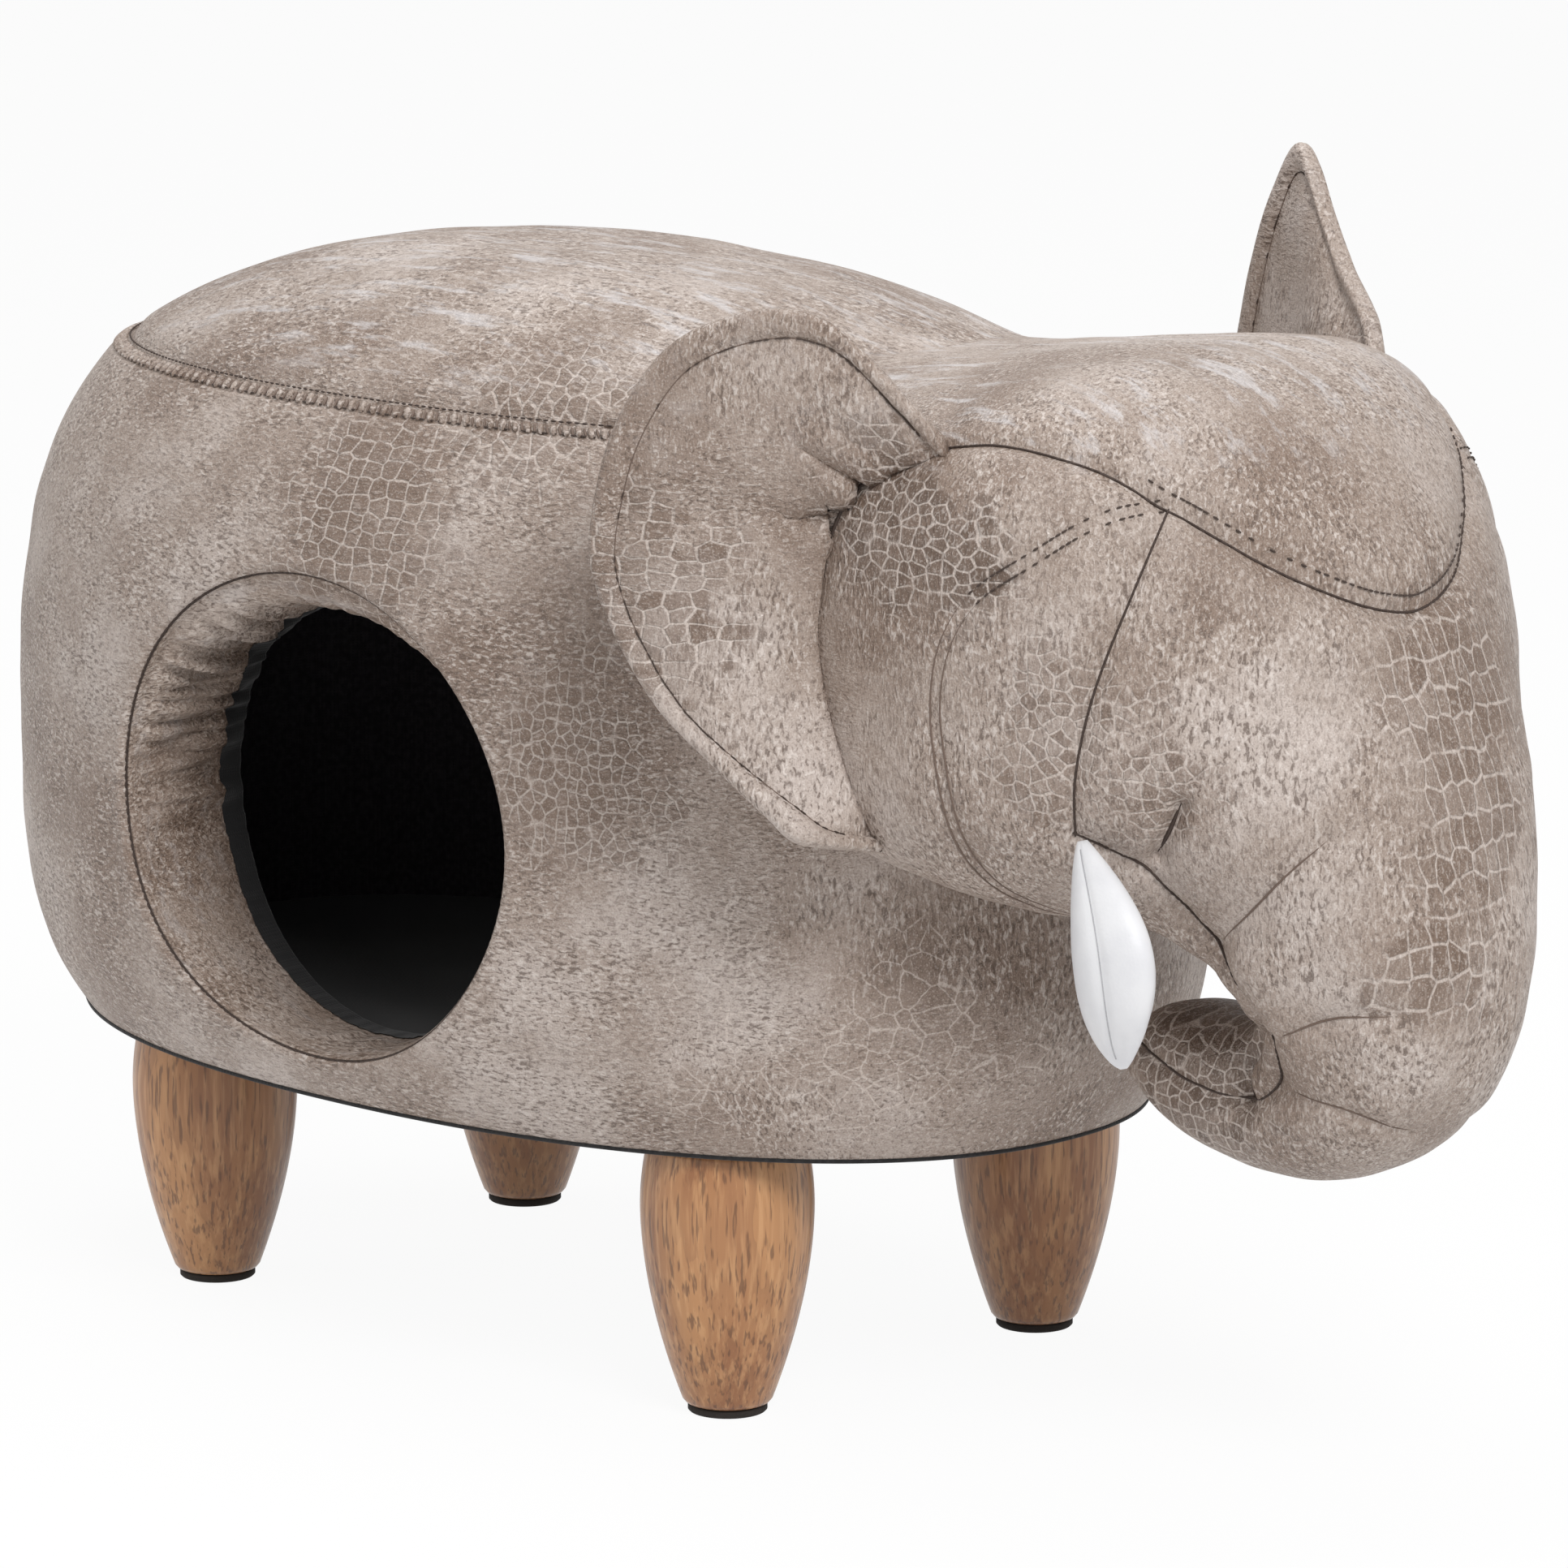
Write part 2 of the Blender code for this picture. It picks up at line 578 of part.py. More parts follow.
def make_ear(name, side, lift, flare):
    """One ear flap; side is -1 for the right and +1 for the left, and flare is its angle off the head."""
    foot_z = UNDER_Z + EAR_FOOT_RISE
    foot_y = head_half_width(EAR_AHEAD, foot_z)
    top_y = head_half_width(EAR_AHEAD, foot_z + EAR_SPAN)
    bow = 0.0
    for i in range(21):
        share = i / 20
        line = foot_y + (top_y - foot_y) * share
        bow = max(bow, head_half_width(EAR_AHEAD, foot_z + EAR_SPAN * share) - line)
    out = bow + EAR_EDGE / 4 + EAR_CLEARANCE
    foot = Vector((FRONT_X + EAR_AHEAD, side * (foot_y + out), foot_z))
    rise = (Vector((0, side * (top_y - foot_y), EAR_SPAN))).normalized()
    turn = math.radians(flare)
    away = Vector((-math.cos(turn), side * math.sin(turn), 0))
    away = (away - rise * away.dot(rise)).normalized()
    face = away.cross(rise) * side
    outline = ear_outline(lift)
    reach = max(u for u, v in outline)
    mid_u = reach / 2
    mid_v = sum(v for u, v in outline) / len(outline)
    shares = (0.3, 0.75, 0.95, 1.0)
    rings = []
    for layer, order in ((1, shares), (-1, tuple(reversed(shares)))):
        for share in order:
            half = EAR_EDGE / 2 + (EAR_THICKNESS - EAR_EDGE) / 2 * (1 - share ** 3)
            if share == 1.0:
                half = EAR_EDGE / 4
            ring = []
            for u, v in outline:
                a = mid_u + (u - mid_u) * share
                b = mid_v + (v - mid_v) * share
                bulge = EAR_BULGE * 4 * (a / reach) * (1 - a / reach)
                ring.append(away * a + rise * b + face * (bulge + layer * half))
            rings.append(ring)
    return loft(name, rings, TAUPE, place=foot), foot, rise


make_ear("ear_right", -1, EAR_LIFT_RIGHT, EAR_FLARE_RIGHT)
make_ear("ear_left", 1, EAR_LIFT_LEFT, EAR_FLARE_LEFT)


# Tusks
def make_tusk(name, side, forward, bow):
    """One stuffed tusk that hangs from its root; side is -1 for the right and +1 for the left."""
    root_z = UNDER_Z + TUSK_ROOT_RISE
    root_y = head_half_width(TUSK_AHEAD, root_z) + TUSK_ROOT / 2 + TUSK_CLEARANCE
    root = Vector((FRONT_X + TUSK_AHEAD, side * root_y, root_z))
    lean = math.radians(forward)
    power = math.log(0.5) / math.log(TUSK_FULLEST)
    down = Vector((math.sin(lean), 0, -math.cos(lean)))
    across = Vector((math.cos(lean), 0, math.sin(lean)))
    outward = Vector((0, side, 0))
    rings = []
    for i in range(TUSK_RINGS + 1):
        share = i / TUSK_RINGS
        swell = math.sin(math.pi * share ** power) ** 0.7 if 0 < share < 1 else 0.0
        half = TUSK_ROOT / 2 * (1 - share * 0.6) + (TUSK_WIDTH - TUSK_ROOT) / 2 * swell
        deep = TUSK_ROOT / 2 * (1 - share * 0.6) + (TUSK_THICKNESS - TUSK_ROOT) / 2 * swell
        centre = (down * (TUSK_LENGTH * share) + across * (bow * math.sin(math.pi * share))
                  + outward * (deep - TUSK_ROOT / 2))
        rings.append([centre + across * (half * a) + outward * (deep * b)
                      for a, b in superellipse(TUSK_POINTS, 2.0)])
    return loft(name, rings, WHITE, place=root)


make_tusk("tusk_right", -1, TUSK_LEAN_RIGHT, TUSK_BOW_RIGHT)
make_tusk("tusk_left", 1, TUSK_LEAN_LEFT, TUSK_BOW_LEFT)
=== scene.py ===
# %% [markdown]
# # Elephant storage pouf
#
# A low padded seat on four turned legs, dressed as an elephant. The solids of the part come in as a
# fixed frame, in metres. Every cell below makes one piece of the dressed pouf where the frame says it
# is, so nothing has to be fitted afterwards.

# %% Load the frame
import math

import bmesh
import bpy
import numpy as np
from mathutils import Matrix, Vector, kdtree, noise
from mathutils.bvhtree import BVHTree


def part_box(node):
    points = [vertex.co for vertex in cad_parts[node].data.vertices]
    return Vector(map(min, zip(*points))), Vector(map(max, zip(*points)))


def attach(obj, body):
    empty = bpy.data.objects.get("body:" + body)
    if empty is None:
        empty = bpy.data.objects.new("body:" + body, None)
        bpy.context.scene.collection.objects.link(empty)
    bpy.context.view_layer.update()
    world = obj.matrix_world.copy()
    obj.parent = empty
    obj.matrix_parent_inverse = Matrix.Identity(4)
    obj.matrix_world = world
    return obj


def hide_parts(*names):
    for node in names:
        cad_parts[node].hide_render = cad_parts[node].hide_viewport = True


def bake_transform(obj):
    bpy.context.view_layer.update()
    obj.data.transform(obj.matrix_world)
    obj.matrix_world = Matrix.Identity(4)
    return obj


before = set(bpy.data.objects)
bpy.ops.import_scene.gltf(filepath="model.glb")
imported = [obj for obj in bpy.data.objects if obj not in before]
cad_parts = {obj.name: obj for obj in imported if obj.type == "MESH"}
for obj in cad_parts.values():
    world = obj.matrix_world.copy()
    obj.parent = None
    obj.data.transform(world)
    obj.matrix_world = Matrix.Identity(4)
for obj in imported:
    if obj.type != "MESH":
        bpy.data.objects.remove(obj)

scene = bpy.context.scene
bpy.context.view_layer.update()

# %% [markdown]
# ## Camera and studio
#
# The pouf is seen from its front right, a little above the seat. A long lens keeps the oval tub from
# looking stretched. The floor and the world are white to the camera and to reflections, and softer to
# everything else, so the background stays white while the leather keeps its own colour.

# %% Camera
VIEW_TURN, VIEW_RISE = math.radians(44.098), math.radians(11.217)
VIEW_MIDDLE = Vector((-0.0333, 0.0448, 0.2073))
VIEW_DISTANCE = 3.1153
LENS, SENSOR_WIDTH, VIEW_LIMIT = 183.2, 36.0, 50

camera = bpy.data.objects.new("photo_camera", bpy.data.cameras.new("photo_camera"))
scene.collection.objects.link(camera)
camera.data.lens, camera.data.sensor_width = LENS, SENSOR_WIDTH
camera.data.clip_end = VIEW_LIMIT
towards_camera = Vector((math.sin(VIEW_TURN) * math.cos(VIEW_RISE),
                         -math.cos(VIEW_TURN) * math.cos(VIEW_RISE), math.sin(VIEW_RISE)))
camera.location = VIEW_MIDDLE + towards_camera * VIEW_DISTANCE
camera.rotation_euler = (math.pi / 2 - VIEW_RISE, 0, VIEW_TURN)
scene.camera = camera
print("camera at", [round(v, 3) for v in camera.location])


# %% Helpers for nodes
def srgb(red, green, blue):
    """A screen colour of 0 to 255 as a linear colour for a shader."""
    return [c / 12.92 if c <= 0.04045 else ((c + 0.055) / 1.055) ** 2.4
            for c in (red / 255, green / 255, blue / 255)] + [1.0]


def plug(tree, socket, value):
    """Link an output to a socket, or set a plain value on it."""
    if isinstance(value, bpy.types.NodeSocket):
        tree.links.new(value, socket)
    else:
        socket.default_value = value


def add(tree, kind, settings=None, **sockets):
    """A node with its settings, and its sockets linked or set by name."""
    node = tree.nodes.new(kind)
    for key, value in (settings or {}).items():
        setattr(node, key, value)
    for key, value in sockets.items():
        plug(tree, node.inputs[key.replace("_", " ")], value)
    return node


def calc(tree, operation, first, second=0.0):
    """The result of one sum with two values."""
    node = add(tree, "ShaderNodeMath", {"operation": operation})
    plug(tree, node.inputs[0], first)
    plug(tree, node.inputs[1], second)
    return node.outputs[0]


def band(tree, value, low, high, start=0.0, end=1.0):
    """A soft step from one value to another."""
    node = add(tree, "ShaderNodeMapRange", {"interpolation_type": "SMOOTHSTEP"}, Value=value)
    for name, number in (("From Min", low), ("From Max", high), ("To Min", start), ("To Max", end)):
        plug(tree, node.inputs[name], number)
    return node.outputs["Result"]


def blend_colour(tree, share, first, second, kind="MIX"):
    """Two colours mixed by a share."""
    node = add(tree, "ShaderNodeMix", {"data_type": "RGBA", "blend_type": kind})
    plug(tree, node.inputs[0], share)
    plug(tree, node.inputs[6], first)
    plug(tree, node.inputs[7], second)
    return node.outputs[2]


def speckle(tree, where, scale, detail=2.0, rough=0.5, stretch=None, twist=0.0):
    """A noise value with features about one over the scale wide, stretched or twisted where asked."""
    if stretch:
        where = add(tree, "ShaderNodeMapping", {}, Vector=where, Scale=stretch).outputs[0]
    return add(tree, "ShaderNodeTexNoise", {}, Vector=where, Scale=scale, Detail=detail,
               Roughness=rough, Distortion=twist).outputs["Fac"]


def new_group(name, inputs, outputs):
    """An empty node group with its named sockets."""
    tree = bpy.data.node_groups.new(name, "ShaderNodeTree")
    for socket, kind, value in inputs:
        made = tree.interface.new_socket(socket, in_out="INPUT", socket_type=kind)
        if value is not None:
            made.default_value = value
    for socket, kind in outputs:
        tree.interface.new_socket(socket, in_out="OUTPUT", socket_type=kind)
    return tree, tree.nodes.new("NodeGroupInput").outputs, tree.nodes.new("NodeGroupOutput").inputs


def new_material(name, rough, **plain):
    """A material with its shader and its Object coordinates."""
    made = bpy.data.materials.new(name)
    made.use_nodes = True
    tree = made.node_tree
    shader = tree.nodes["Principled BSDF"]
    shader.inputs["Roughness"].default_value = rough
    for key, value in plain.items():
        shader.inputs[key.replace("_", " ")].default_value = value
    place = tree.nodes.new("ShaderNodeTexCoord").outputs["Object"]
    return made, tree, shader.inputs, place


def coat(tree, shader, colour, rough=None):
    """Give a shader its colour, and its roughness where that varies."""
    tree.links.new(colour, shader["Base Color"])
    if rough is not None:
        tree.links.new(rough, shader["Roughness"])


def bump(tree, shader, height, distance, strength):
    """Fine relief from a height value."""
    node = add(tree, "ShaderNodeBump", {}, Height=height, Distance=distance, Strength=strength)
    tree.links.new(node.outputs["Normal"], shader["Normal"])


print("helpers for nodes ready")

# %% Floor, world and lights
WHITE_SHARE, WORLD_LEVEL = 0.94, 0.37
FLOOR_REACH, FLOOR_GREY = 9.0, 0.9
LAMP_AIM = Vector((0, 0, 0.22))
LAMPS = (("key_lamp", (1.9, -0.9, 2.1), 1.1, 51), ("top_lamp", (-0.5, 0.3, 2.6), 1.6, 30),
         ("fill_lamp", (-1.9, -2.2, 1.2), 1.8, 13))


def white_to_camera(tree, soft, white, most, target):
    """Mix a white shader into a soft one, for the rays that show it to the camera."""
    ray = tree.nodes.new("ShaderNodeLightPath").outputs
    seen = calc(tree, "MAXIMUM", ray["Is Camera Ray"],
                calc(tree, "MAXIMUM", ray["Is Glossy Ray"], ray["Is Transmission Ray"]))
    mixed = add(tree, "ShaderNodeMixShader", {}, Fac=calc(tree, "MULTIPLY", seen, most))
    for shader, socket in ((soft, mixed.inputs[1]), (white, mixed.inputs[2]), (mixed, target)):
        tree.links.new(shader.outputs[0], socket)


def studio_floor():
    """A wide white floor that keeps a faint shadow."""
    mesh = bpy.data.meshes.new("studio_floor")
    corners = ((-1, -1), (1, -1), (1, 1), (-1, 1))
    mesh.from_pydata([(x * FLOOR_REACH, y * FLOOR_REACH, 0) for x, y in corners], [], [(0, 1, 2, 3)])
    floor = bpy.data.objects.new("studio_floor", mesh)
    scene.collection.objects.link(floor)
    made, tree, shader, _ = new_material("studio_white", 0.9)
    shader["Base Color"].default_value = (FLOOR_GREY, FLOOR_GREY, FLOOR_GREY, 1)
    glow = add(tree, "ShaderNodeEmission", {}, Strength=1.0)
    white_to_camera(tree, tree.nodes["Principled BSDF"], glow, WHITE_SHARE,
                    tree.nodes["Material Output"].inputs["Surface"])
    mesh.materials.append(made)


def studio_world():
    """White to the camera, and an even soft light to the pouf."""
    world = bpy.data.worlds.new("studio_world")
    world.use_nodes = True
    scene.world = world
    tree = world.node_tree
    soft = tree.nodes["Background"]
    soft.inputs["Strength"].default_value = WORLD_LEVEL
    soft.inputs["Color"].default_value = (1, 1, 1, 1)
    white = add(tree, "ShaderNodeBackground", {}, Strength=1.0)
    white_to_camera(tree, soft, white, 1.0, tree.nodes["World Output"].inputs["Surface"])


def soft_box(name, place, size, energy):
    """A square studio lamp that points at the pouf."""
    lamp = bpy.data.lights.new(name, "AREA")
    lamp.shape, lamp.size, lamp.energy = "SQUARE", size, energy
    made = bpy.data.objects.new(name, lamp)
    made.location = place
    made.rotation_euler = (LAMP_AIM - Vector(place)).to_track_quat("-Z", "Y").to_euler()
    scene.collection.objects.link(made)


scene.view_settings.view_transform = "Standard"
studio_floor()
studio_world()
for lamp in LAMPS:
    soft_box(*lamp)
print("studio ready with", len(LAMPS), "lamps")

# %% [markdown]
# ## Finishes
#
# The cover is a printed faux leather: a taupe ground with short flecks, patches of rounded reptile
# cells with pale outlines, a pale web in other places, and streaks of wear on the seat. The flecks are
# partly painted shade and painted highlight on the grain's relief, the streaks on top are partly a
# painted cool sheen, and some darker and paler patches are painted shade and painted light. One node
# group holds all of that, so every leather piece shares it. The places of the cell patches are
# listed; an image could hold the print too, but nodes stay sharp from any distance.

# %% Leather group
GROUND_DARK, GROUND_MID, GROUND_PALE = srgb(131, 112, 99), srgb(158, 142, 131), srgb(187, 174, 166)
# The dark and pale flecks are partly print and partly painted shade and painted highlight of the grain's relief.
DARK_FLECK_AND_RELIEF_SHADE, PALE_FLECK_AND_RELIEF_HIGHLIGHT = srgb(84, 67, 56), srgb(216, 206, 199)
CELL_DARK, CELL_DEEP, CELL_LINE = srgb(112, 92, 78), srgb(92, 73, 60), srgb(208, 195, 186)
# The tint of the streaks of wear is a cool grey: partly real wear, partly a painted cool sheen on top of the pouf.
WEAR_AND_SHEEN_TINT = srgb(201, 196, 196)
SCALE_PATCHES = (
    ((0.055, -0.158, 0.250), 0.052), ((0.262, -0.116, 0.288), 0.040), ((0.282, -0.100, 0.268), 0.032),
    ((-0.240, 0.120, 0.250), 0.070), ((0.060, 0.150, 0.220), 0.070), ((0.250, 0.118, 0.300), 0.050),
)
SEAT_PATCHES = (((0.000, -0.122, 0.377), 0.046), ((-0.150, 0.080, 0.400), 0.050))
BROW_PATCHES = (((0.338, 0.006, 0.300), 0.052), ((0.345, 0.000, 0.255), 0.046), ((0.352, -0.020, 0.205), 0.034),
                ((-0.340, 0.020, 0.200), 0.055))
BLOCK_PATCHES = (((-0.060, -0.150, 0.335), 0.055), ((0.118, -0.178, 0.325), 0.046))
FINE_PATCHES = (((0.188, -0.130, 0.362), 0.034), ((0.212, -0.131, 0.348), 0.034), ((0.248, -0.030, 0.156), 0.050),
                ((0.196, 0.128, 0.366), 0.040))
WEB_PATCHES = (((0.140, -0.095, 0.155), 0.060), ((0.100, -0.125, 0.150), 0.045), ((-0.040, -0.095, 0.388), 0.055),
               ((-0.300, -0.060, 0.160), 0.070), ((-0.200, 0.140, 0.170), 0.080))
# The dark and pale patches are partly print and partly painted shade and painted light. The dark one behind the right
# ear is partly the ear's painted shadow, and the pale ones on both ears are painted light.
DARK_PRINT_AND_SHADE_PATCHES = (((0.030, -0.165, 0.270), 0.080), ((-0.060, -0.150, 0.330), 0.060), ((0.180, -0.130, 0.340), 0.060),
                ((0.275, -0.020, 0.160), 0.070), ((0.338, 0.006, 0.300), 0.050))
PALE_PRINT_AND_LIGHT_PATCHES = (((0.070, -0.165, 0.160), 0.110), ((-0.290, -0.090, 0.165), 0.080), ((0.300, -0.070, 0.290), 0.055),
                ((-0.320, -0.060, 0.330), 0.080), ((-0.160, -0.150, 0.345), 0.060), ((0.140, 0.152, 0.425), 0.130),
                ((0.138, -0.168, 0.285), 0.085), ((0.330, -0.055, 0.215), 0.050))
# Of each kind of net: its patches, the plane it is drawn on, its cells per metre both ways, the width
# of its lines, how irregular it is, the colour of its cells and how strongly it shows.
NETS = ((SCALE_PATCHES, "XZ", (215.0, 175.0), 0.110, 0.80, CELL_DARK, 0.80),
        (SEAT_PATCHES, "XY", (150.0, 170.0), 0.110, 0.80, CELL_DARK, 0.80),
        (BROW_PATCHES, "YZ", (130.0, 92.0), 0.085, 0.42, CELL_DARK, 0.90),
        (BLOCK_PATCHES, "XZ", (118.0, 165.0), 0.085, 0.50, CELL_DARK, 0.90),
        (FINE_PATCHES, "XZ", (150.0, 195.0), 0.110, 0.75, CELL_DEEP, 0.95))
CORNER_FROM, CORNER_FULL, CORNER_SHARE = 0.56, 0.80, 0.70
FLECKS_LEVEL, FLECKS_UPRIGHT = (330.0, 540.0, 900.0), (760.0, 620.0, 310.0)
WOBBLE, WEB_SCALE, WEAR_STRETCH = 0.005, 96.0, (0.30, 1.6, 1.0)


def nearness(tree, where, patches):
    """1 in the middle of the nearest of some round patches, 0 at its edge."""
    least = None
    for centre, radius in patches:
        gap = add(tree, "ShaderNodeVectorMath", {"operation": "DISTANCE"})
        plug(tree, gap.inputs[0], where)
        plug(tree, gap.inputs[1], centre)
        far = calc(tree, "DIVIDE", gap.outputs["Value"], radius)
        least = far if least is None else calc(tree, "MINIMUM", least, far)
    return calc(tree, "SUBTRACT", 1.0, least)


def net_lines(tree, where, scales, wide, random, plane):
    """The lines of a net of round-cornered cells drawn on a plane, and a random value for each cell."""
    parts = add(tree, "ShaderNodeSeparateXYZ", {}, Vector=where).outputs
    flat = add(tree, "ShaderNodeCombineXYZ", {}, X=parts[plane[0]], Y=parts[plane[1]]).outputs[0]
    flat = add(tree, "ShaderNodeMapping", {}, Vector=flat, Scale=(scales[0], scales[1], 1.0)).outputs[0]
    gap, cell = (add(tree, "ShaderNodeTexVoronoi", {"voronoi_dimensions": "2D", "feature": kind}, Vector=flat,
                     Scale=1.0, Randomness=random).outputs for kind in ("DISTANCE_TO_EDGE", "F1"))
    line = band(tree, gap["Distance"], wide, wide * 0.3)
    corner = band(tree, cell["Distance"], CORNER_FROM, CORNER_FULL, 0.0, CORNER_SHARE)
    tint = add(tree, "ShaderNodeSeparateColor", {}, Color=cell["Color"]).outputs[0]
    return calc(tree, "MAXIMUM", line, corner), tint


def build_leather():
    """The print: its ground, nets of cells, web, flecks and wear, with its gloss and relief."""
    tree, given, result = new_group(
        "printed_leather",
        [("Vector", "NodeSocketVector", None), ("Wear", "NodeSocketFloat", 0.5)],
        [("Color", "NodeSocketColor"), ("Roughness", "NodeSocketFloat"), ("Height", "NodeSocketFloat")])
    where, wear = given["Vector"], given["Wear"]

    def times(first, second):
        return calc(tree, "MULTIPLY", first, second)

    def plus(first, second):
        return calc(tree, "ADD", first, second)

    def minus(first, second):
        return calc(tree, "SUBTRACT", first, second)

    def tinted(colour, share, other):
        return blend_colour(tree, share, colour, other)

    wobble = add(tree, "ShaderNodeTexNoise", {}, Vector=where, Scale=70.0, Detail=2.0).outputs["Color"]
    shift = add(tree, "ShaderNodeVectorMath", {"operation": "SCALE"}, Scale=WOBBLE)
    plug(tree, shift.inputs[0], wobble)
    bend = add(tree, "ShaderNodeVectorMath", {"operation": "ADD"})
    plug(tree, bend.inputs[0], where)
    plug(tree, bend.inputs[1], shift.outputs[0])
    bent = bend.outputs[0]

    blotch = speckle(tree, where, 13.0, 4.0, 0.6)
    cloud = speckle(tree, where, 60.0, 3.0, 0.6)
    ragged = minus(cloud, 0.5)
    forward = add(tree, "ShaderNodeSeparateXYZ", {}, Vector=where).outputs["X"]
    turned = plus(forward, times(minus(speckle(tree, where, 16.0, 2.0), 0.5), 0.28))
    grain, upright = (speckle(tree, where, 1.0, 1.0, 0.5, lay, 0.6) for lay in (FLECKS_LEVEL, FLECKS_UPRIGHT))
    grain = plus(grain, times(band(tree, turned, 0.10, 0.17), minus(upright, grain)))
    busy = band(tree, speckle(tree, where, 32.0, 2.0), 0.38, 0.58, 0.50, 1.0)
    mote = speckle(tree, where, 1500.0, 1.0, 0.5)
    tone = plus(blotch, times(ragged, 0.17))
    # Dark and pale patches: partly print, partly painted shade and painted light.
    for patches, step in ((PALE_PRINT_AND_LIGHT_PATCHES, 0.15), (DARK_PRINT_AND_SHADE_PATCHES, -0.11)):
        tone = plus(tone, times(band(tree, nearness(tree, where, patches), 0.0, 0.8), step))
    ground = tinted(GROUND_DARK, band(tree, tone, 0.34, 0.54), GROUND_MID)
    colour = ground = tinted(ground, times(band(tree, tone, 0.50, 0.72), 0.9), GROUND_PALE)

    relief, plain = 0.0, 1.0
    for patches, plane, scales, wide, random, dark, strength in NETS:
        inside = band(tree, plus(nearness(tree, where, patches), times(ragged, 2.0)), 0.06, 0.50)
        line, cell = net_lines(tree, bent, scales, wide, random, plane)
        cells = tinted(tinted(dark, times(cell, 0.62), ground), times(line, 0.72), CELL_LINE)
        colour = tinted(colour, times(inside, strength), cells)
        relief = plus(relief, times(times(line, inside), -0.6))
        plain = times(plain, minus(1.0, inside))

    web = add(tree, "ShaderNodeTexVoronoi", {"feature": "DISTANCE_TO_EDGE"}, Vector=bent, Scale=WEB_SCALE)
    spread = plus(speckle(tree, where, 22.0, 3.0, 0.6), times(nearness(tree, where, WEB_PATCHES), 0.22))
    strand = times(band(tree, web.outputs["Distance"], 0.040, 0.012), times(band(tree, spread, 0.50, 0.66), plain))
    colour = tinted(colour, times(strand, 0.58), CELL_LINE)

    calm = times(band(tree, plain, 0.0, 1.0, 0.55, 1.0), busy)
    # Flecks, dark where the relief is low and pale where it is high: partly print, partly painted relief shade and
    # highlight.
    for value, low, high, strength, fleck_and_relief_tint in (
            (grain, 0.47, 0.33, times(calm, 0.72), DARK_FLECK_AND_RELIEF_SHADE), (grain, 0.54, 0.68, times(calm, 0.58), PALE_FLECK_AND_RELIEF_HIGHLIGHT),
            (mote, 0.46, 0.30, 0.30, DARK_FLECK_AND_RELIEF_SHADE), (mote, 0.56, 0.72, 0.30, PALE_FLECK_AND_RELIEF_HIGHLIGHT)):
        colour = tinted(colour, times(band(tree, value, low, high), strength), fleck_and_relief_tint)

    # Streaks of wear, mostly on top: partly wear, partly painted cool sheen.
    wear_and_sheen = times(band(tree, speckle(tree, where, 85.0, 5.0, 0.72, WEAR_STRETCH), 0.50, 0.68), wear)
    tree.links.new(tinted(colour, wear_and_sheen, WEAR_AND_SHEEN_TINT), result["Color"])
    rough = minus(minus(0.52, times(wear_and_sheen, 0.10)), times(band(tree, mote, 0.55, 0.75), 0.20))
    tree.links.new(rough, result["Roughness"])
    for value, share in ((grain, 1.7), (mote, 0.35), (cloud, 0.7)):
        relief = plus(relief, times(value, share))
    tree.links.new(relief, result["Height"])
    return tree


leather_group = build_leather()
print("leather group:", len(leather_group.nodes), "nodes")


# %% Leather materials
REST_PLACE = "rest_place"
WEAR_FROM_Z, WEAR_FULL_Z = 0.372, 0.392
# Painted shade: the collar goes from its own tint at the tunnel's mouth to a darker brown further in.
PAINTED_SHADE_FROM_Y, PAINTED_SHADE_FULL_Y = -0.158, -0.112
UNSHADED_TINT, PAINTED_SHADE_TINT = (1.0, 0.98, 0.96, 1), (0.62, 0.57, 0.53, 1)


def leather_material(name, wear_side, wear_top, shaded=False, bends=False):
    """Printed leather, with more streaks of wear and painted cool sheen on top of the pouf, and painted shade
    darkening it further into the tunnel where asked.

    On a flap that bends, the print is read from the place that each point has at rest.
    """
    made, tree, shader, place = new_material(name, 0.55)
    if bends:
        tree.nodes.remove(place.node)
        place = add(tree, "ShaderNodeAttribute", {"attribute_name": REST_PLACE}).outputs["Vector"]
    parts = add(tree, "ShaderNodeSeparateXYZ", {}, Vector=place).outputs
    wear = band(tree, parts["Z"], WEAR_FROM_Z, WEAR_FULL_Z, wear_side, wear_top)
    hide = add(tree, "ShaderNodeGroup", {"node_tree": leather_group}, Vector=place, Wear=wear).outputs
    colour = hide["Color"]
    if shaded:
        # Painted shade, darker further into the tunnel.
        painted_shade = blend_colour(tree, band(tree, parts["Y"], PAINTED_SHADE_FROM_Y, PAINTED_SHADE_FULL_Y), UNSHADED_TINT, PAINTED_SHADE_TINT)
        colour = blend_colour(tree, 1.0, colour, painted_shade, "MULTIPLY")
    coat(tree, shader, colour, hide["Roughness"])
    bump(tree, shader, hide["Height"], 0.0006, 0.9)
    return made


TAUPE_LEATHER = leather_material("taupe_leather_print", 0.05, 0.70)
COLLAR_LEATHER = leather_material("collar_leather_print", 0.30, 0.30, shaded=True)
EAR_LEATHER = leather_material("ear_leather_print", 0.05, 0.12, bends=True)


def plain_leather():
    """White faux leather of the tusks: a fine pebble and a faint grey mottle."""
    made, tree, shader, place = new_material("white_leather_pebble", 0.48)
    pebble = add(tree, "ShaderNodeTexVoronoi", {"feature": "SMOOTH_F1"}, Vector=place, Scale=900.0)
    pebble = pebble.outputs["Distance"]
    shade = band(tree, speckle(tree, place, 60.0, 3.0), 0.30, 0.70)
    coat(tree, shader, blend_colour(tree, shade, srgb(215, 215, 218), srgb(223, 223, 225)),
         band(tree, pebble, 0.2, 0.8, 0.42, 0.56))
    bump(tree, shader, pebble, 0.00012, 0.5)
    return made


WHITE_LEATHER = plain_leather()


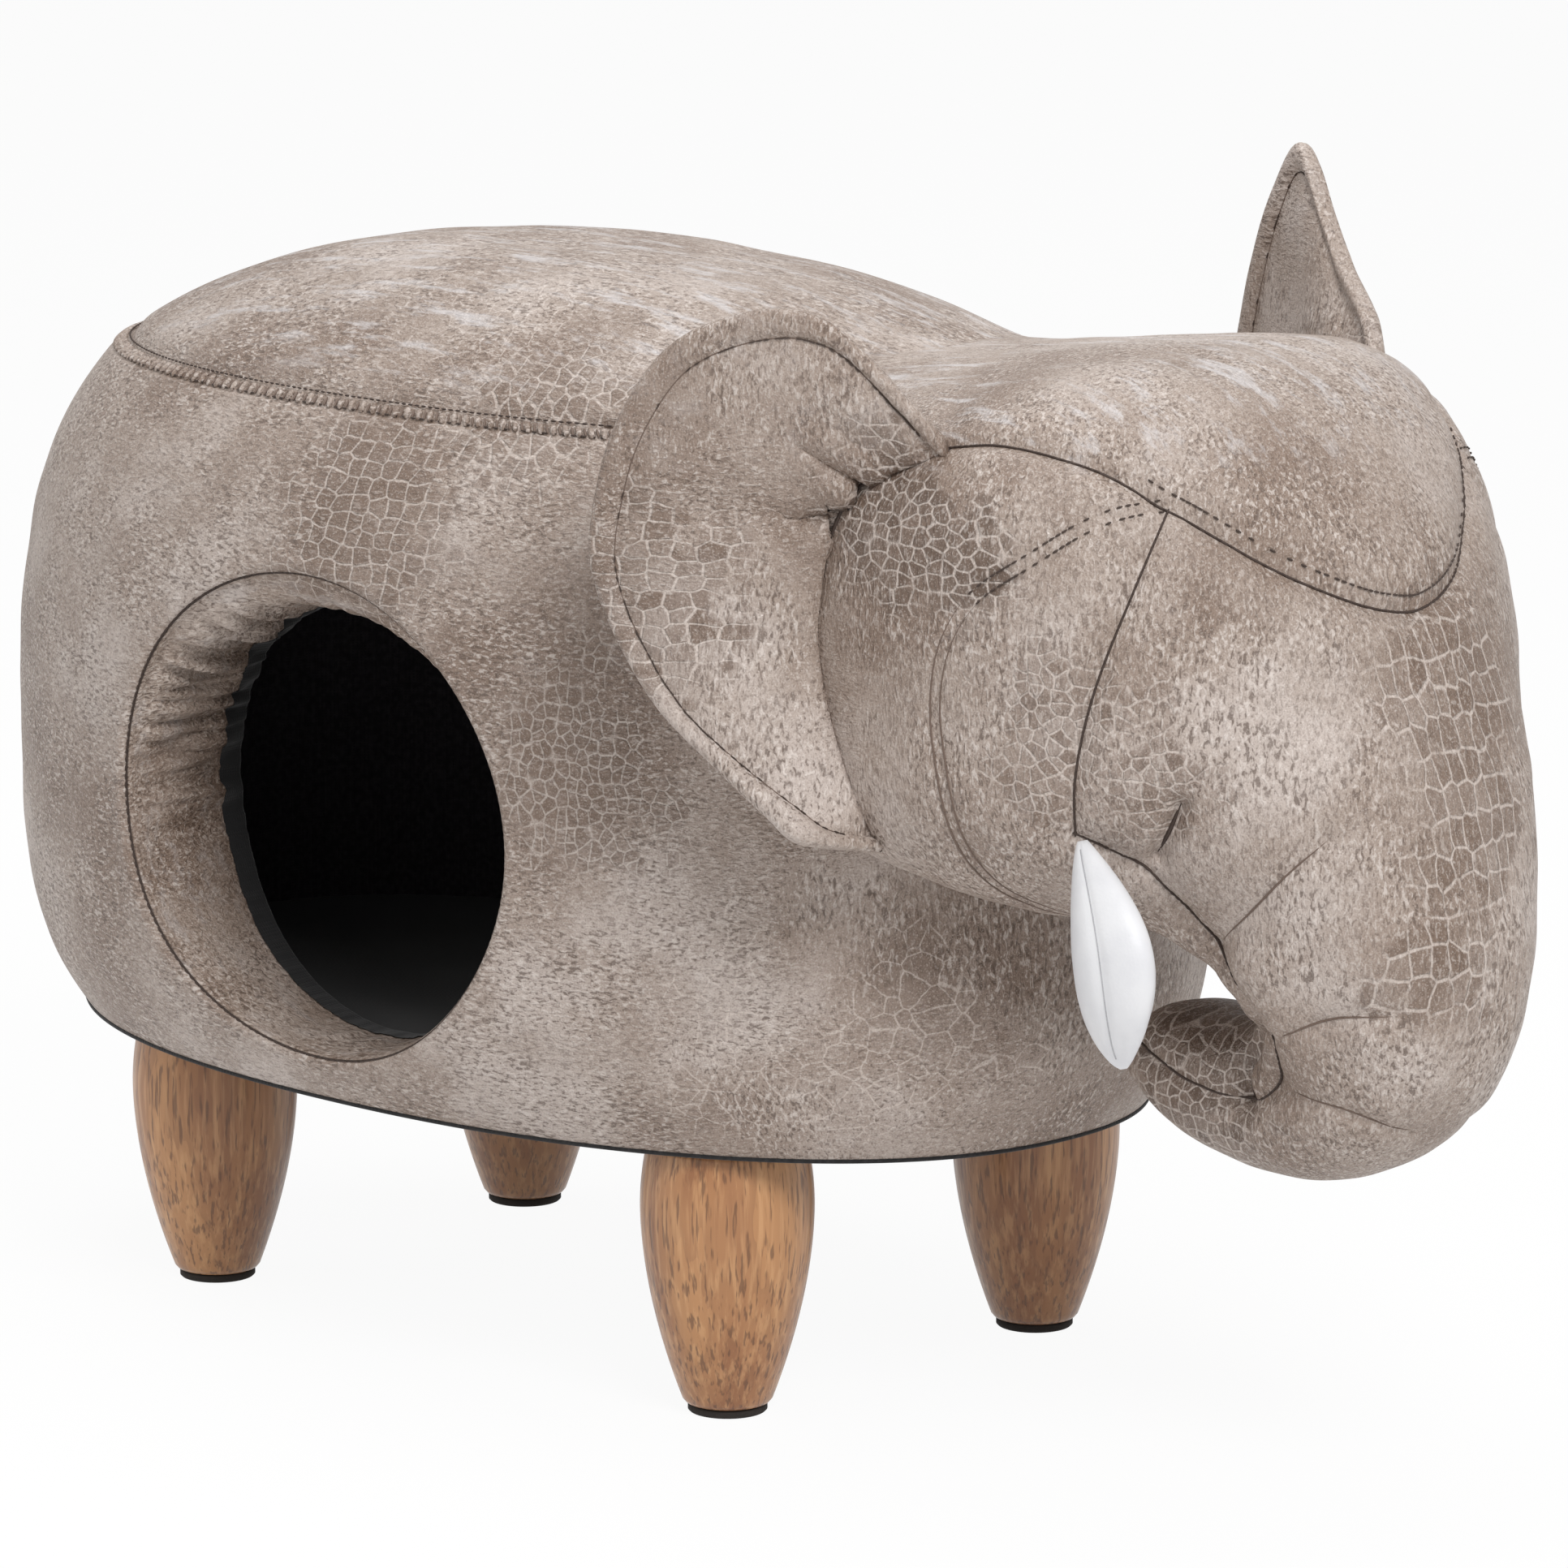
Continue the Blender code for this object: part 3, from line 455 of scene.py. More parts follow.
def woven_cloth(name, dark, pale, pitch):
    """A plain weave, seen as ridges of thread along all three ways."""
    made, tree, shader, place = new_material(name, 0.95, Sheen_Weight=0.15, Sheen_Roughness=0.5)
    weave = 0.0
    for way in "XYZ":
        ridge = add(tree, "ShaderNodeTexWave", {"bands_direction": way}, Vector=place, Scale=pitch).outputs["Fac"]
        weave = calc(tree, "MAXIMUM", weave, ridge)
    lint = band(tree, speckle(tree, place, 400.0, 3.0), 0.3, 0.7)
    coat(tree, shader, blend_colour(tree, calc(tree, "MULTIPLY", weave, lint), dark, pale))
    bump(tree, shader, weave, 0.0002, 0.6)
    return made


# The lining is one black cloth. The walls and ceiling get a lighter black as painted light where they lie in shade.
# The floor, which the light through the entrance reaches, gets a darker black as painted shade, and the turned edge
# shares it.
LINING_CLOTH_PAINTED_LIGHTER = woven_cloth("black_lining_weave_painted_lighter", srgb(46, 43, 46), srgb(68, 63, 68), 260.0)
LINING_FLOOR_PAINTED_DARKER = woven_cloth("black_floor_weave_painted_darker", srgb(8, 7, 8), srgb(15, 14, 15), 260.0)
# The underside cloth's black also colours the tube that paints the shadow line under the tub's edge.
DUST_CLOTH_AND_SHADOW_LINE = woven_cloth("black_dust_cloth_and_shadow_line", srgb(20, 19, 20), srgb(38, 37, 38), 160.0)


def thread_material(name, colour, pale):
    """Twisted sewing thread. The dark threads also make painted shade: lines in seam grooves, creases and pleats, at
    the ear's root and between the gathers.
    """
    made, tree, shader, place = new_material(name, 0.7)
    coat(tree, shader, blend_colour(tree, speckle(tree, place, 1800.0, 1.0), colour, pale))
    return made


DARK_THREAD_AND_SHADE = thread_material("seam_thread_and_painted_shade", srgb(48, 36, 30), srgb(70, 55, 47))
STITCH_THREAD_AND_SHADE = thread_material("stitch_thread_and_painted_shade", srgb(84, 67, 57), srgb(122, 104, 93))
WHITE_THREAD = thread_material("white_thread", srgb(150, 150, 154), srgb(190, 190, 193))
print("leather, cloth and thread ready")


# %% Wood, board and metal
def turned_wood():
    """Light hardwood: broad figure, fine pores along the grain, and a satin lacquer."""
    made, tree, shader, place = new_material("turned_hardwood", 0.42, Coat_Weight=0.25, Coat_Roughness=0.25)
    figure = speckle(tree, place, 1.0, 4.0, 0.55, (34.0, 34.0, 5.0))
    ring = calc(tree, "FRACT", calc(tree, "MULTIPLY", figure, 9.0))
    grain = speckle(tree, place, 1.0, 3.0, 0.6, (420.0, 420.0, 16.0))
    pore = speckle(tree, place, 1.0, 2.0, 0.5, (640.0, 640.0, 62.0))
    colour = blend_colour(tree, band(tree, figure, 0.36, 0.64), srgb(148, 98, 62), srgb(188, 137, 91))
    for value, low, high, share, tint in ((ring, 0.55, 0.98, 0.24, srgb(116, 74, 46)),
                                          (grain, 0.45, 0.68, 0.48, srgb(214, 165, 116)),
                                          (pore, 0.53, 0.66, 0.66, srgb(92, 58, 35))):
        colour = blend_colour(tree, calc(tree, "MULTIPLY", band(tree, value, low, high), share), colour, tint)
    coat(tree, shader, colour, band(tree, grain, 0.3, 0.7, 0.46, 0.36))
    bump(tree, shader, calc(tree, "SUBTRACT", grain, band(tree, pore, 0.60, 0.72)), 0.00015, 0.5)
    return made


def ply_board():
    """Birch ply: pale face grain, and plies that show at the edges."""
    made, tree, shader, place = new_material("birch_ply", 0.72)
    height = add(tree, "ShaderNodeSeparateXYZ", {}, Vector=place).outputs["Z"]
    ply = calc(tree, "FRACT", calc(tree, "MULTIPLY", height, 640.0))
    grain = speckle(tree, place, 1.0, 4.0, 0.6, (9.0, 160.0, 160.0))
    colour = blend_colour(tree, band(tree, grain, 0.35, 0.65), srgb(198, 168, 126), srgb(222, 198, 160))
    colour = blend_colour(tree, calc(tree, "MULTIPLY", band(tree, ply, 0.45, 0.55), 0.25), colour, srgb(160, 126, 88))
    coat(tree, shader, colour)
    bump(tree, shader, grain, 0.0002, 0.4)
    return made


def zinc_metal():
    """Zinc-plated steel with a faint crystal mottle."""
    made, tree, shader, place = new_material("zinc_plated_steel", 0.35, Metallic=1.0)
    mottle = speckle(tree, place, 420.0, 3.0)
    coat(tree, shader, blend_colour(tree, mottle, srgb(168, 170, 170), srgb(206, 207, 204)),
         band(tree, mottle, 0.3, 0.7, 0.28, 0.44))
    return made


def foot_felt():
    """Dark pressed felt under the legs."""
    made, tree, shader, place = new_material("dark_felt", 0.95)
    fibre = speckle(tree, place, 700.0, 4.0, 0.7)
    coat(tree, shader, blend_colour(tree, fibre, srgb(26, 23, 21), srgb(56, 50, 46)))
    bump(tree, shader, fibre, 0.0003, 0.6)
    return made


TURNED_WOOD, BIRCH_PLY, ZINC_STEEL, FOOT_FELT = turned_wood(), ply_board(), zinc_metal(), foot_felt()
for finish, names in ((BIRCH_PLY, ("base_board", "seat_board", "wall_left", "wall_right")),
                      (ZINC_STEEL, ("base_screw", "seat_screw", "t_nut", "hanger_bolt"))):
    for node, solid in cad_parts.items():
        if node.startswith(names):
            solid.data.materials.clear()
            solid.data.materials.append(finish)
print("boards and fixings have their finishes")


# %% Helpers for meshes
def new_piece(name, points, faces, finish):
    """A smooth mesh object with its place in its mesh."""
    mesh = bpy.data.meshes.new(name)
    mesh.from_pydata([tuple(float(v) for v in p) for p in points], [], faces)
    mesh.materials.append(finish)
    made = bpy.data.objects.new(name, mesh)
    scene.collection.objects.link(made)
    mesh.shade_smooth()
    return made


def grid_faces(rows, columns, closed):
    """Quads between the rows of a grid, whose columns may close into a ring."""
    faces = []
    for r in range(rows - 1):
        for c in range(columns if closed else columns - 1):
            d = (c + 1) % columns
            faces.append((r * columns + c, r * columns + d, (r + 1) * columns + d, (r + 1) * columns + c))
    return faces


def outward(piece, merge=1e-6):
    """Merge doubles and point the faces of a closed shape outwards."""
    bm = bmesh.new()
    bm.from_mesh(piece.data)
    bmesh.ops.remove_doubles(bm, verts=bm.verts, dist=merge)
    bmesh.ops.recalc_face_normals(bm, faces=bm.faces)
    bm.to_mesh(piece.data)
    bm.free()
    piece.data.shade_smooth()


def plain_mesh(piece):
    """Turn a piece's modifiers into a plain mesh."""
    seen = piece.evaluated_get(bpy.context.evaluated_depsgraph_get())
    mesh = bpy.data.meshes.new_from_object(seen)
    piece.modifiers.clear()
    piece.data = mesh


def drop_loose(bm):
    """Delete the points that no face uses."""
    bmesh.ops.delete(bm, geom=[v for v in bm.verts if not v.link_faces], context="VERTS")


def surface_of(mesh):
    """A mesh as a tree that finds the nearest place on it."""
    return BVHTree.FromPolygons([v.co for v in mesh.vertices], [p.vertices[:] for p in mesh.polygons])


def units(vectors):
    """Vectors along the last axis, each of length 1."""
    return vectors / (np.linalg.norm(vectors, axis=-1)[..., None] + 1e-12)


def points_of(mesh):
    """The places of a mesh's points."""
    found = np.empty(len(mesh.vertices) * 3)
    mesh.vertices.foreach_get("co", found)
    return found.reshape(-1, 3)


def normals_of(mesh):
    """The normals at a mesh's points."""
    found = np.empty(len(mesh.vertices) * 3, dtype=np.float32)
    mesh.vertex_normals.foreach_get("vector", found)
    return found.reshape(-1, 3).astype(float)


def put_points(mesh, points):
    """Move a mesh's points to new places."""
    mesh.vertices.foreach_set("co", np.asarray(points, dtype=np.float32).ravel())
    mesh.update()


def even_steps(points, count, closed=False):
    """Points spaced evenly by length along a path."""
    path = np.asarray(points, float)
    if closed:
        path = np.vstack([path, path[:1]])
    run = np.concatenate([[0], np.cumsum(np.linalg.norm(np.diff(path, axis=0), axis=1))])
    stops = np.linspace(0, run[-1], count, endpoint=not closed)
    return np.column_stack([np.interp(stops, run, path[:, k]) for k in range(path.shape[1])])


def smooth_path(points, step=0.0015):
    """A smooth curve through a few points, read every step."""
    p = np.asarray(points, float)
    p = np.vstack([2 * p[0] - p[1], p, 2 * p[-1] - p[-2]])
    fine = []
    for a, b, c, d in zip(p, p[1:], p[2:], p[3:]):
        for t in np.linspace(0, 1, 24, endpoint=False):
            fine.append(0.5 * (2 * b + (c - a) * t + (2 * a - 5 * b + 4 * c - d) * t * t
                               + (3 * b - a - 3 * c + d) * t ** 3))
    fine.append(p[-2])
    length = np.linalg.norm(np.diff(fine, axis=0), axis=1).sum()
    return even_steps(fine, max(int(length / step), 4))


def lump(point, scale, seed):
    """A smooth random value between about -1 and 1 at a point."""
    return noise.noise(Vector(point) * scale + Vector((seed, 2.3 * seed, -1.7 * seed)))


def lumps(points, scale, seed):
    """The smooth random value at each of some points."""
    return np.array([lump(p, scale, seed) for p in points])


print("helpers for meshes ready")

# %% [markdown]
# ## The tub's side
#
# The side is one long padded panel round the oval tub. It bellies out, tucks in under the base, and is
# sewn to the seat in a groove. A loft would do, but a grid of points lets the rows crowd together at
# the seams. The quads over the entrance are dropped, and the border left behind is pulled onto the
# oval, so the panel can roll into the hole without a break.

# %% Tub shape
side_low, side_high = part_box("side_cover")
TUB_X = (side_low[0] + side_high[0]) / 2
TUB_HALF_X, TUB_HALF_Y = (side_high[0] - side_low[0]) / 2, side_high[1]
UNDER_Z, SEAM_Z = side_low[2], side_high[2] + 0.00015
PLAN_POWER, SEAM_INSET, BASE_INSET = 2.2, 0.043, 0.024
WIDEST_Z, SHOULDER_POWER, FOOT_POWER = UNDER_Z + 0.095, 3.8, 3.0
SEAT_CROWN, SEAT_CROWN_POWER = 0.045, 3.0
GROOVE_DEPTH, GROOVE_WIDTH = 0.0030, 0.0042
STITCH_BAND, STITCH_BAND_DEPTH, STITCH_BAND_WIDTH = 0.0065, 0.0006, 0.0013
TUB_COLUMNS = 560
HEM_TURN, SEAM_TURN = ((0.016, 0.0016), (0.006, 0.0010)), ((0.0010, 0.0018), (0.0180, 0.0050))
SEAM_ROW = -1 - len(SEAM_TURN)

turns = np.linspace(0, 2 * math.pi, 4000, endpoint=False)
oval_fine = np.column_stack([
    TUB_HALF_X * np.sign(np.cos(turns)) * np.abs(np.cos(turns)) ** (2 / PLAN_POWER),
    TUB_HALF_Y * np.sign(np.sin(turns)) * np.abs(np.sin(turns)) ** (2 / PLAN_POWER)])
oval_unit = even_steps(oval_fine, TUB_COLUMNS, True) / (TUB_HALF_X, TUB_HALF_Y)


def side_inset(z):
    """How far the barrel side is drawn in at one height."""
    if z > WIDEST_Z:
        return SEAM_INSET * ((z - WIDEST_Z) / (SEAM_Z - WIDEST_Z)) ** SHOULDER_POWER
    return BASE_INSET * ((WIDEST_Z - z) / (WIDEST_Z - UNDER_Z)) ** FOOT_POWER


def oval_ring(inset, z):
    """A level ring of points on the drawn-in oval of the tub."""
    return np.column_stack([TUB_X + (TUB_HALF_X - inset) * oval_unit[:, 0],
                            (TUB_HALF_Y - inset) * oval_unit[:, 1], np.full(len(oval_unit), z)])


def outwards(points, rise=0.0):
    """The way out of the tub at some points."""
    return units(np.column_stack([points[:, 0] - TUB_X, points[:, 1] * 2.0, np.full(len(points), rise)]))


def tub_y(inset, x):
    """Half width of the drawn-in oval at one place along X."""
    share = np.clip(np.abs(x - TUB_X) / (TUB_HALF_X - inset), 0, 1)
    return (TUB_HALF_Y - inset) * (1 - share ** PLAN_POWER) ** (1 / PLAN_POWER)


def side_rows():
    """(inset, height) of each row, from the hem to the seam, then down inside the seat."""
    heights = np.linspace(UNDER_Z, SEAM_Z, 600)
    curve = np.array([(side_inset(z), z) for z in heights])
    run = np.concatenate([[0], np.cumsum(np.linalg.norm(np.diff(curve, axis=0), axis=1))])
    stops = np.concatenate([np.arange(0, 0.012, 0.0015), np.arange(0.012, run[-1] - 0.014, 0.0027),
                            np.arange(run[-1] - 0.014, run[-1], 0.0008), [run[-1]]])
    rows = []
    for stop in stops:
        inset, z = np.interp(stop, run, curve[:, 0]), np.interp(stop, run, curve[:, 1])
        ahead = units(np.array([np.interp(stop + 1e-4, run, curve[:, k]) - np.interp(stop - 1e-4, run, curve[:, k])
                                for k in (0, 1)]))
        left = run[-1] - stop
        sink = GROOVE_DEPTH * math.exp(-(left / GROOVE_WIDTH) ** 2)
        sink += STITCH_BAND_DEPTH * math.exp(-((left - STITCH_BAND) / STITCH_BAND_WIDTH) ** 2)
        rows.append((inset + ahead[1] * sink, z - ahead[0] * sink))
    inset, z = rows[-1]
    hem = [(BASE_INSET + into, UNDER_Z + up) for into, up in HEM_TURN]
    return hem + rows + [(inset + into, z - down) for into, down in SEAM_TURN]


tub_rows = side_rows()
print("tub rows:", len(tub_rows), "columns:", len(oval_unit))

# %% Side panel and entrance
tunnel_low, tunnel_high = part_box("tunnel_sleeve")
HOLE_X, HOLE_Z = (tunnel_low[0] + tunnel_high[0]) / 2, (tunnel_low[2] + tunnel_high[2]) / 2
HOLE_HALF_X, HOLE_HALF_Z = (tunnel_high[0] - tunnel_low[0]) / 2, (tunnel_high[2] - tunnel_low[2]) / 2
HOLE_X, HOLE_HALF_X = HOLE_X - 0.0025, HOLE_HALF_X - 0.0025
HOLE_Z, HOLE_HALF_Z = HOLE_Z - 0.0010, HOLE_HALF_Z - 0.0010
LIP, LIP_RADIUS, LIP_END, LIP_RINGS = 0.0065, 0.0055, 0.0014, 5


def hole_share(x, z, grow):
    """1 on the entrance's oval grown by a margin, less inside it."""
    return np.hypot((x - HOLE_X) / (HOLE_HALF_X + grow), (z - HOLE_Z) / (HOLE_HALF_Z + grow))


def side_surface_y(x, z):
    """Y of the tub's right side at a place seen from the side."""
    return -tub_y(side_inset(z), x)


def build_side_panel():
    """The side panel's mesh and, for the collar, the border of the entrance in order."""
    points = np.vstack([oval_ring(*row) for row in tub_rows])
    calm = np.clip((SEAM_Z - 0.012 - points[:, 2]) / 0.03, 0, 1) * np.clip((points[:, 2] - UNDER_Z) / 0.02, 0, 1)
    soft = 0.0011 * lumps(points, 16, 1) + 0.0006 * lumps(points, 45, 2)
    points += outwards(points) * (soft * calm)[:, None]
    bm = bmesh.new()
    verts = [bm.verts.new(p) for p in points]
    inside = (hole_share(points[:, 0], points[:, 2], LIP) < 1) & (points[:, 1] < 0)
    for face in grid_faces(len(tub_rows), len(oval_unit), True):
        if not any(inside[i] for i in face):
            bm.faces.new([verts[i] for i in face])
    drop_loose(bm)
    border = [v for v in bm.verts if v.is_boundary and v.co.y < 0
              and hole_share(v.co.x, v.co.z, LIP) < 1.2 and UNDER_Z + 0.004 < v.co.z < SEAM_Z - 0.02]
    border.sort(key=lambda v: math.atan2((v.co.z - HOLE_Z) / HOLE_HALF_Z, (v.co.x - HOLE_X) / HOLE_HALF_X))
    for v in border:
        share = hole_share(v.co.x, v.co.z, LIP)
        v.co.x, v.co.z = HOLE_X + (v.co.x - HOLE_X) / share, HOLE_Z + (v.co.z - HOLE_Z) / share
        v.co.y = side_surface_y(v.co.x, v.co.z)
    angles = [math.atan2((v.co.z - HOLE_Z) / (HOLE_HALF_Z + LIP), (v.co.x - HOLE_X) / (HOLE_HALF_X + LIP))
              for v in border]
    before = border
    for margin, deep in lip_profile():
        ring = [bm.verts.new(hole_point(angle, margin, deep)) for angle in angles]
        for i in range(len(ring)):
            j = (i + 1) % len(ring)
            bm.faces.new((before[i], before[j], ring[j], ring[i]))
        before = ring
    bmesh.ops.recalc_face_normals(bm, faces=bm.faces)
    mesh = bpy.data.meshes.new("side_panel")
    bm.to_mesh(mesh)
    bm.free()
    mesh.materials.append(TAUPE_LEATHER)
    mesh.shade_smooth()
    made = bpy.data.objects.new("side_panel", mesh)
    scene.collection.objects.link(made)
    return made, angles


def hole_point(angle, margin, deep):
    """A point at an angle round the entrance, a margin outside its oval and so deep from the side."""
    x = HOLE_X + (HOLE_HALF_X + margin) * math.cos(angle)
    z = HOLE_Z + (HOLE_HALF_Z + margin) * math.sin(angle)
    return x, side_surface_y(x, z) + deep, z


def lip_profile():
    """(margin, depth) of the rings that roll the panel into the entrance, as far as its seam."""
    rings = []
    for i in range(1, LIP_RINGS + 1):
        margin = LIP - (LIP - LIP_END) * i / LIP_RINGS
        rings.append((margin, LIP_RADIUS - math.sqrt(LIP_RADIUS ** 2 - max(LIP_RADIUS - margin, 0) ** 2)))
    return rings + [(0.0016, 0.0034), (0.0016, 0.0060)]


side_panel, hole_angles = build_side_panel()
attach(side_panel, "pouf")
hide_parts("side_cover", "side_foam")
print("side panel:", len(side_panel.data.polygons), "faces, border of", len(hole_angles), "points")

# %% [markdown]
# ## Collar and lining
#
# A leather collar is sewn to the panel round the entrance and turns in for about 5 cm, where the black
# lining starts. The collar was eased to fit, so it puckers, most of all at its upper left. The lining
# is black woven cloth, hung slackly on the walls, laid on the floor and stretched under the seat. Its
# edge is turned out over the wall, onto the end of the collar.


# %% Collar
LINING_BACK = TUB_HALF_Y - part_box("lining_wall")[1][1]
LINING_COVER = 0.0056
PUCKER_DEPTH, PUCKER_TURN, PUCKER_LEAST = 0.0060, math.radians(150), 0.18
TOP_DROOP, FRONT_DROOP, DROOP_START = 0.013, 0.003, 0.13
COLLAR_COLUMNS, COLLAR_ROWS, COLLAR_START = 360, 18, 0.006
COLLAR_SEAM = ((0.0060, -0.0002), (0.0032, 0.0010), (0.0030, 0.0006), (0.0036, 0.0002), (0.0045, 0.0))


def collar_end(angle):
    """How deep the collar goes at an angle, so that it just covers the cut edge of the lining."""
    x, y, _ = hole_point(angle, 0.0, 0.0)
    return -tub_y(LINING_BACK + LINING_COVER, x) - y


def collar_margin(angle, share):
    """How far the collar stands off the entrance's oval, with its puckers and its droop."""
    gather = max(math.cos(angle - PUCKER_TURN), 0.0) ** 3 + PUCKER_LEAST
    ripple = lump((30 * math.cos(angle), 30 * math.sin(angle), 3.0 * share), 0.42, 5)
    ripple += 0.8 * lump((80 * math.cos(angle), 80 * math.sin(angle), 5.0 * share), 0.40, 6)
    pull = PUCKER_DEPTH * gather * max(ripple + 0.35, 0.0) * math.sin(math.pi * min(share * 0.95, 1.0)) ** 0.6
    droop = TOP_DROOP * max(math.sin(angle), 0.0) ** 1.6 + FRONT_DROOP * max(math.cos(angle), 0.0)
    return -0.0016 * share - pull - droop * (1 - math.exp(-share / DROOP_START))


def build_collar(name, first, last, raised, finish):
    """A ring of the collar, between two shares of its depth."""
    angles = np.linspace(-math.pi, math.pi, COLLAR_COLUMNS, endpoint=False)
    ends = [collar_end(angle) for angle in angles]
    points = []
    if first == 0:
        points = [hole_point(angle, margin, deep) for deep, margin in COLLAR_SEAM for angle in angles]
    for share in np.linspace(first, last, COLLAR_ROWS):
        points += [hole_point(angle, collar_margin(angle, share) - raised, COLLAR_START + (end - COLLAR_START) * share)
                   for angle, end in zip(angles, ends)]
    if last == 1:
        points += [hole_point(angle, 0.0035, end + 0.0004) for angle, end in zip(angles, ends)]
    made = new_piece(name, points, grid_faces(len(points) // len(angles), len(angles), True), finish)
    bm = bmesh.new()
    bm.from_mesh(made.data)
    for face in bm.faces:
        middle = face.calc_center_median()
        if face.normal.x * (middle.x - HOLE_X) + face.normal.z * (middle.z - HOLE_Z) > 0:
            face.normal_flip()
    bm.to_mesh(made.data)
    bm.free()
    return made


tunnel_collar = build_collar("tunnel_collar", 0, 0.86, 0.0, COLLAR_LEATHER)
lining_turn = build_collar("lining_turn", 0.80, 1, 0.0006, LINING_FLOOR_PAINTED_DARKER)
for piece in (tunnel_collar, lining_turn):
    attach(piece, "pouf")
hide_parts("tunnel_sleeve")
print("collar:", len(tunnel_collar.data.polygons), "faces")

# %% Lining
wall_low, wall_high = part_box("lining_wall")
floor_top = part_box("lining_floor")[1][2]
LINING_SLACK = 0.002
LINING_HALF_X = (wall_high[0] - wall_low[0]) / 2 - LINING_SLACK
LINING_HALF_Y = wall_high[1] - LINING_SLACK
LINING_TOP = wall_high[2] - 0.001
LINING_COLUMNS, LINING_ROWS = 300, 36
OVAL_RINGS, OVAL_COLUMNS = 22, 120


def lining_wall_sheet():
    """The slack wall of the lining, with the entrance cut out of it."""
    unit = even_steps(oval_fine, LINING_COLUMNS, True) / (TUB_HALF_X, TUB_HALF_Y)
    points = []
    for z in np.linspace(floor_top, LINING_TOP, LINING_ROWS):
        for x, y in unit:
            slack = 0.0016 * lump((x * 9, y * 9, z * 9), 1.6, 8) + 0.0012 * lump((x * 22, y * 22, z * 6), 1.1, 9)
            if y < 0:
                slack *= min(max(hole_share(TUB_X + LINING_HALF_X * x, z, 0.0) - 1, 0) / 0.25, 1)
            slack -= LINING_SLACK
            points.append((TUB_X + (LINING_HALF_X + slack) * x, (LINING_HALF_Y + slack) * y, z))
    points = np.array(points)
    gone = (hole_share(points[:, 0], points[:, 2], 0.0) < 1) & (points[:, 1] < 0)
    faces = grid_faces(LINING_ROWS, LINING_COLUMNS, True)
    kept = [tuple(reversed(f)) for f in faces if not all(gone[i] for i in f)]
    for i in np.nonzero(gone)[0]:
        share = hole_share(points[i, 0], points[i, 2], 0.0)
        if share > 0.80:
            points[i, 0] = HOLE_X + (points[i, 0] - HOLE_X) / share
            points[i, 2] = HOLE_Z + (points[i, 2] - HOLE_Z) / share
            along = abs((points[i, 0] - TUB_X) / LINING_HALF_X)
            points[i, 1] = -(LINING_HALF_Y - LINING_SLACK) * (1 - along ** PLAN_POWER) ** (1 / PLAN_POWER)
    made = new_piece("lining_wall_cloth", points, kept, LINING_CLOTH_PAINTED_LIGHTER)
    bm = bmesh.new()
    bm.from_mesh(made.data)
    drop_loose(bm)
    bm.to_mesh(made.data)
    bm.free()
    return made


def oval_sheet(name, z, half_x, half_y, sag, finish, face_up):
    """A laid or stretched oval of cloth, a little uneven."""
    points = []
    for share in np.linspace(1.0, 0.02, OVAL_RINGS):
        for turn in np.linspace(0, 2 * math.pi, OVAL_COLUMNS, endpoint=False):
            x = half_x * share * math.copysign(abs(math.cos(turn)) ** (2 / PLAN_POWER), math.cos(turn))
            y = half_y * share * math.copysign(abs(math.sin(turn)) ** (2 / PLAN_POWER), math.sin(turn))
            fold = 0.0007 * lump((x, y, z), 22, 11) * (1 - share ** 6)
            points.append((TUB_X + x, y, z + sag * (1 - share ** 2) + fold))
    faces = grid_faces(OVAL_RINGS, OVAL_COLUMNS, True)
    faces.append(tuple(range((OVAL_RINGS - 1) * OVAL_COLUMNS, OVAL_RINGS * OVAL_COLUMNS)))
    if not face_up:
        faces = [tuple(reversed(f)) for f in faces]
    return new_piece(name, points, faces, finish)


lining_wall = lining_wall_sheet()
lining_floor = oval_sheet("lining_floor_cloth", floor_top + 0.0012, LINING_HALF_X, LINING_HALF_Y, 0.0012,
                          LINING_FLOOR_PAINTED_DARKER, True)
lining_ceiling = oval_sheet("lining_ceiling_cloth", LINING_TOP, LINING_HALF_X, LINING_HALF_Y, -0.004,
                            LINING_CLOTH_PAINTED_LIGHTER, False)
for sheet, node in ((lining_wall, "lining_wall"), (lining_floor, "lining_floor"), (lining_ceiling, "lining_ceiling")):
    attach(sheet, "pouf")
    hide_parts(node)

# %% Underside cloth
under_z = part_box("dust_cover")[0][2]
UNDER_HALF_X, UNDER_HALF_Y = TUB_HALF_X - BASE_INSET + 0.0004, TUB_HALF_Y - BASE_INSET + 0.0004
dust_cloth = oval_sheet("underside_cloth", under_z, UNDER_HALF_X, UNDER_HALF_Y, -0.0008, DUST_CLOTH_AND_SHADOW_LINE, False)
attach(dust_cloth, "pouf")
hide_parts("dust_cover")
# A black tube along the bottom edge: partly the underside cloth's hem, partly a painted shadow line under the tub's
# edge.
hem_and_shadow_line_path = oval_ring(BASE_INSET - 0.0002, UNDER_Z)
hem_and_shadow_line_path = np.vstack([hem_and_shadow_line_path, hem_and_shadow_line_path[:2]])
print("underside cloth:", round(2 * UNDER_HALF_X, 3), "x", round(2 * UNDER_HALF_Y, 3), "m")

# %% [markdown]
# ## Sewing
#
# Seams on this pouf are a groove with a dark thread in it, and some have a row of stitches beside
# them. Rows of stitches repeat, so a Geometry Nodes tree places one small bead of thread on every
# point that it is given, turned the way that the point says. The thread in a groove is a thin tube,
# dark and thick enough that it is partly painted shade in the groove. Dark tubes in the creases and
# pleats, and dark dashes between the gathers, are painted shade.


